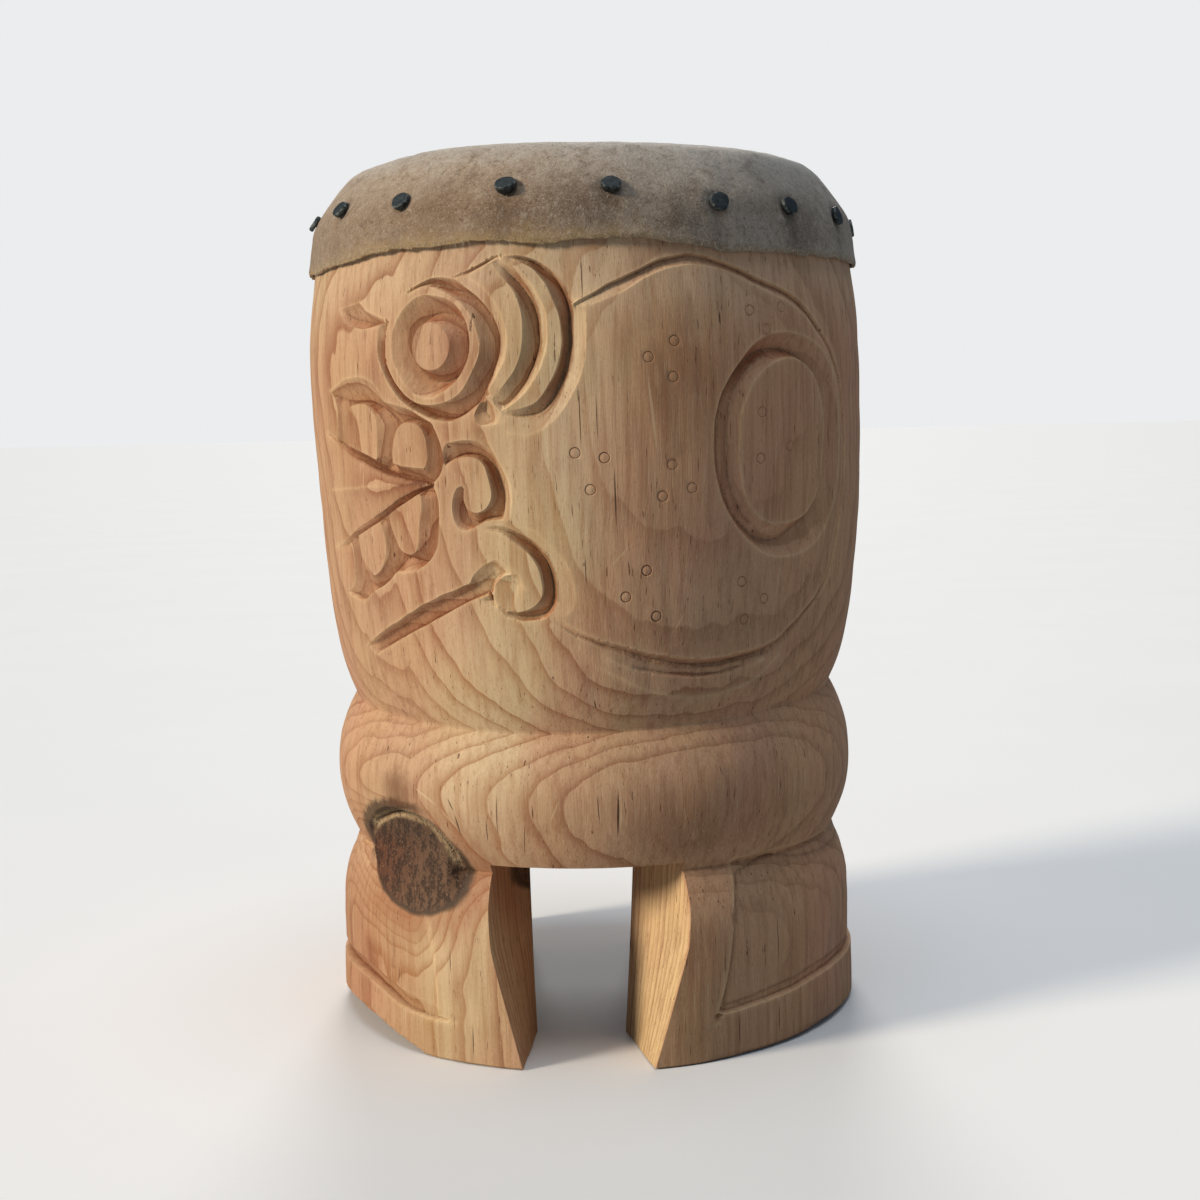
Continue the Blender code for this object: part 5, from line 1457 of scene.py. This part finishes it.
def hide_finish():
    """Raw hide: brown short hair that turns grey to the right and white on the crown, fine curled
    fuzz, dark soft patches, a yellow lip at the hem, and painted shade where it is pressed in under the
    tacks."""
    material, n, shader, place = new_material("raw_hide")
    pressed_shade, hem, hairs, _ = n.marks()
    x, _, z = n.axes(place)
    cloud, drift = n.noise(place, (0.025, 0.025, 0.035), 3, 0.55)
    blotch, _ = n.noise(place, (0.1, 0.1, 0.12), 4, 0.6, (4, 4, 4))
    mottle, _ = n.noise(place, 0.32, 3.5, 0.75, (2, 7, 3))
    stipple, _ = n.noise(place, 1.15, 3, 0.8, (1, 5, 1))
    warped = n.vector("ADD", n.vector("MULTIPLY", place, (0.75, 0.75, 0.75)), drift)
    curl, _ = n.noise(warped, 1, 2, 0.6, (6, 2, 1))
    curl = n.between(abs(curl - 0.5), 0.022, 0.004)
    uneven = (blotch - 0.5) * 24
    bare = z + uneven
    right = n.between(x + uneven, -45, 60)
    cloudy = n.between(cloud, 0.3, 0.7)
    base = n.mix(right, n.mix(cloudy, "866b52", "9a8168"), n.mix(cloudy, "918272", "a4978a"))
    base = n.mix(n.between(x, -70, -135) * 0.75, base, "a08a72")
    base = n.mix(n.between(bare, 424, 446) * 0.8, base, n.mix(right, "ae9b86", "b0a79d"))
    for u, height, reach, share in SPOTS:
        away = n.vector("DISTANCE", place, tuple(around(float(u), float(height), GIRTH)))
        base = n.mix(n.between(away + uneven, reach, reach * 0.2) * share, base, "4f3f31")
    for field, low, high, share, paint in (
            (blotch, 0.47, 0.3, 0.4, "64503f"), (blotch, 0.55, 0.72, 0.3, "b3a595"),
            (bare, 440, 456, 0.5, "bdb8b0"),
            (mottle, 0.46, 0.32, 0.42, "4b3c30"), (mottle, 0.54, 0.68, 0.35, "c4b9ab"),
            (stipple, 0.47, 0.33, 0.5, "3d3027"), (stipple, 0.54, 0.68, 0.4, "d3cabe")):
        base = n.mix(n.between(field, low, high) * share, base, paint)
    white = curl * n.between(mottle, 0.42, 0.6) * (0.12 + n.between(bare, 428, 452) * 0.5)
    left = n.between(abs(x + 45), 95, 45) * n.between(bare, 415, 406)
    hair_tint = n.mix(n.between(stipple, 0.42, 0.6), "b9a27c", "d9cfbd")
    # pressed_shade is painted shade under the tacks
    for share, paint in ((white, "e4ddd2"), (left * 0.3, "b0935f"), (hem * (0.75 - right * 0.45), "b99d72"),
                         (pressed_shade * 0.4, "3f3227"), (hairs, hair_tint)):
        base = n.mix(share, base, paint)
    height = stipple * 0.4 + mottle * 0.5
    return finish(material, n, shader, Base_Color=base, Roughness=0.66 + stipple * 0.28, Sheen_Weight=0.15,
                  Sheen_Roughness=0.5, Specular_IOR_Level=0.3, Normal=n.bump(height, 0.85, 0.0013))


def iron_finish():
    """Blackened iron: dark grey-green with a dull glint, and pale bare metal on the worn rim, which also
    serves as its painted glint.
    """
    material, n, shader, place = new_material("black_iron")
    # the rim's wear, whose pale bare metal also stands for a painted glint
    rim = n.marks()[0]
    rub, _ = n.noise(place, 0.45, 4, 0.6)
    fine, _ = n.noise(place, 1.6, 4, 0.7, (3, 3, 3))
    base = n.mix(n.between(rub, 0.3, 0.55, False), "20262a", "323a3d")
    base = n.mix(n.between(rub, 0.55, 0.75, False), base, "4b5452")
    base = n.mix(rim * n.between(rub * 0.6 + fine * 0.4, 0.46, 0.6) * 0.8, base, "8e938f")
    return finish(material, n, shader, Base_Color=base, Metallic=0.45, Roughness=0.36 + fine * 0.3,
                  Normal=n.bump(fine, 0.6, 0.0006))


# ================================================================ the object and its studio

make_log(pine_finish())
hide = make_hide(hide_finish())
iron = iron_finish()
for number, (degrees, height, lean) in enumerate(TACKS, 1):
    make_tack(number, degrees, height, lean, iron)


def make_floor():
    """A pale floor: a square sheet at the feet."""
    floor = bpy.data.objects.new("floor", bpy.data.meshes.new("floor"))
    half = 40.0                       # metres
    corners = [(-half, -half, 0), (half, -half, 0), (half, half, 0), (-half, half, 0)]
    floor.data.from_pydata(corners, [], [(0, 1, 2, 3)])
    bpy.context.scene.collection.objects.link(floor)
    material, n, shader, place = new_material("pale_floor")
    patch, _ = n.noise(place, 0.004, 2)
    seen = n.mix(patch, (0.84, 0.84, 0.84), (0.88, 0.88, 0.88))
    sight = n.add("LightPath").outputs["Is Camera Ray"]
    n.put(shader.inputs["Base Color"], n.mix(sight, (0.3, 0.3, 0.3), seen))
    shader.inputs["Roughness"].default_value = 0.8
    floor.data.materials.append(material)


def sunlight(name, turn, rise, spread, strength, tint):
    """Soft even light from a direction: degrees round from the front, to the right, and above the floor."""
    turn, rise = math.radians(turn), math.radians(rise)
    lamp = bpy.data.lights.new(name, "SUN")
    lamp.angle = math.radians(spread)
    lamp.energy = strength
    lamp.color = tint
    made = bpy.data.objects.new(name, lamp)
    source = Vector((math.cos(rise) * math.sin(turn), -math.cos(rise) * math.cos(turn), math.sin(rise)))
    made.rotation_euler = source.to_track_quat("Z", "Y").to_euler()
    bpy.context.scene.collection.objects.link(made)


make_floor()
sunlight("key", -66, 22, 14, 2.75, (1.0, 0.87, 0.70))
sunlight("top", 20, 84, 40, 1.0, (0.94, 0.97, 1.0))
sunlight("back", 180, 28, 20, 1.2, (1.0, 0.98, 0.95))


def make_world():
    """Soft pale surroundings: bright to look at, dimmer and cooler as a light."""
    world = bpy.data.worlds.new("studio")
    world.use_nodes = True
    n = Nodes(world.node_tree)
    n.tree.nodes.clear()
    lit = n.add("Background", {"Color": (0.6, 0.79, 1.0, 1.0), "Strength": 0.2})
    seen = n.add("Background", {"Color": (0.93, 0.94, 0.95, 1.0), "Strength": 0.9})
    both = n.add("MixShader", {0: n.add("LightPath").outputs["Is Camera Ray"], 1: lit.outputs[0],
                               2: seen.outputs[0]})
    n.add("OutputWorld", {"Surface": both.outputs[0]})
    bpy.context.scene.world = world


make_world()
bpy.context.scene.view_settings.view_transform = "Standard"

camera = bpy.data.objects.new("camera", bpy.data.cameras.new("camera"))
camera.data.lens = 53.775
camera.data.sensor_width = 36
camera.data.clip_start = 0.05
camera.location = (0.0053, -1.0, 0.3208)
LOOKS_DOWN, ROLLED = 0.1, 0.0230  # radians
turned = Matrix.Rotation(math.pi / 2 - LOOKS_DOWN, 4, "X") @ Matrix.Rotation(-ROLLED, 4, "Z")
camera.rotation_euler = turned.to_euler()
bpy.context.scene.collection.objects.link(camera)
bpy.context.scene.camera = camera
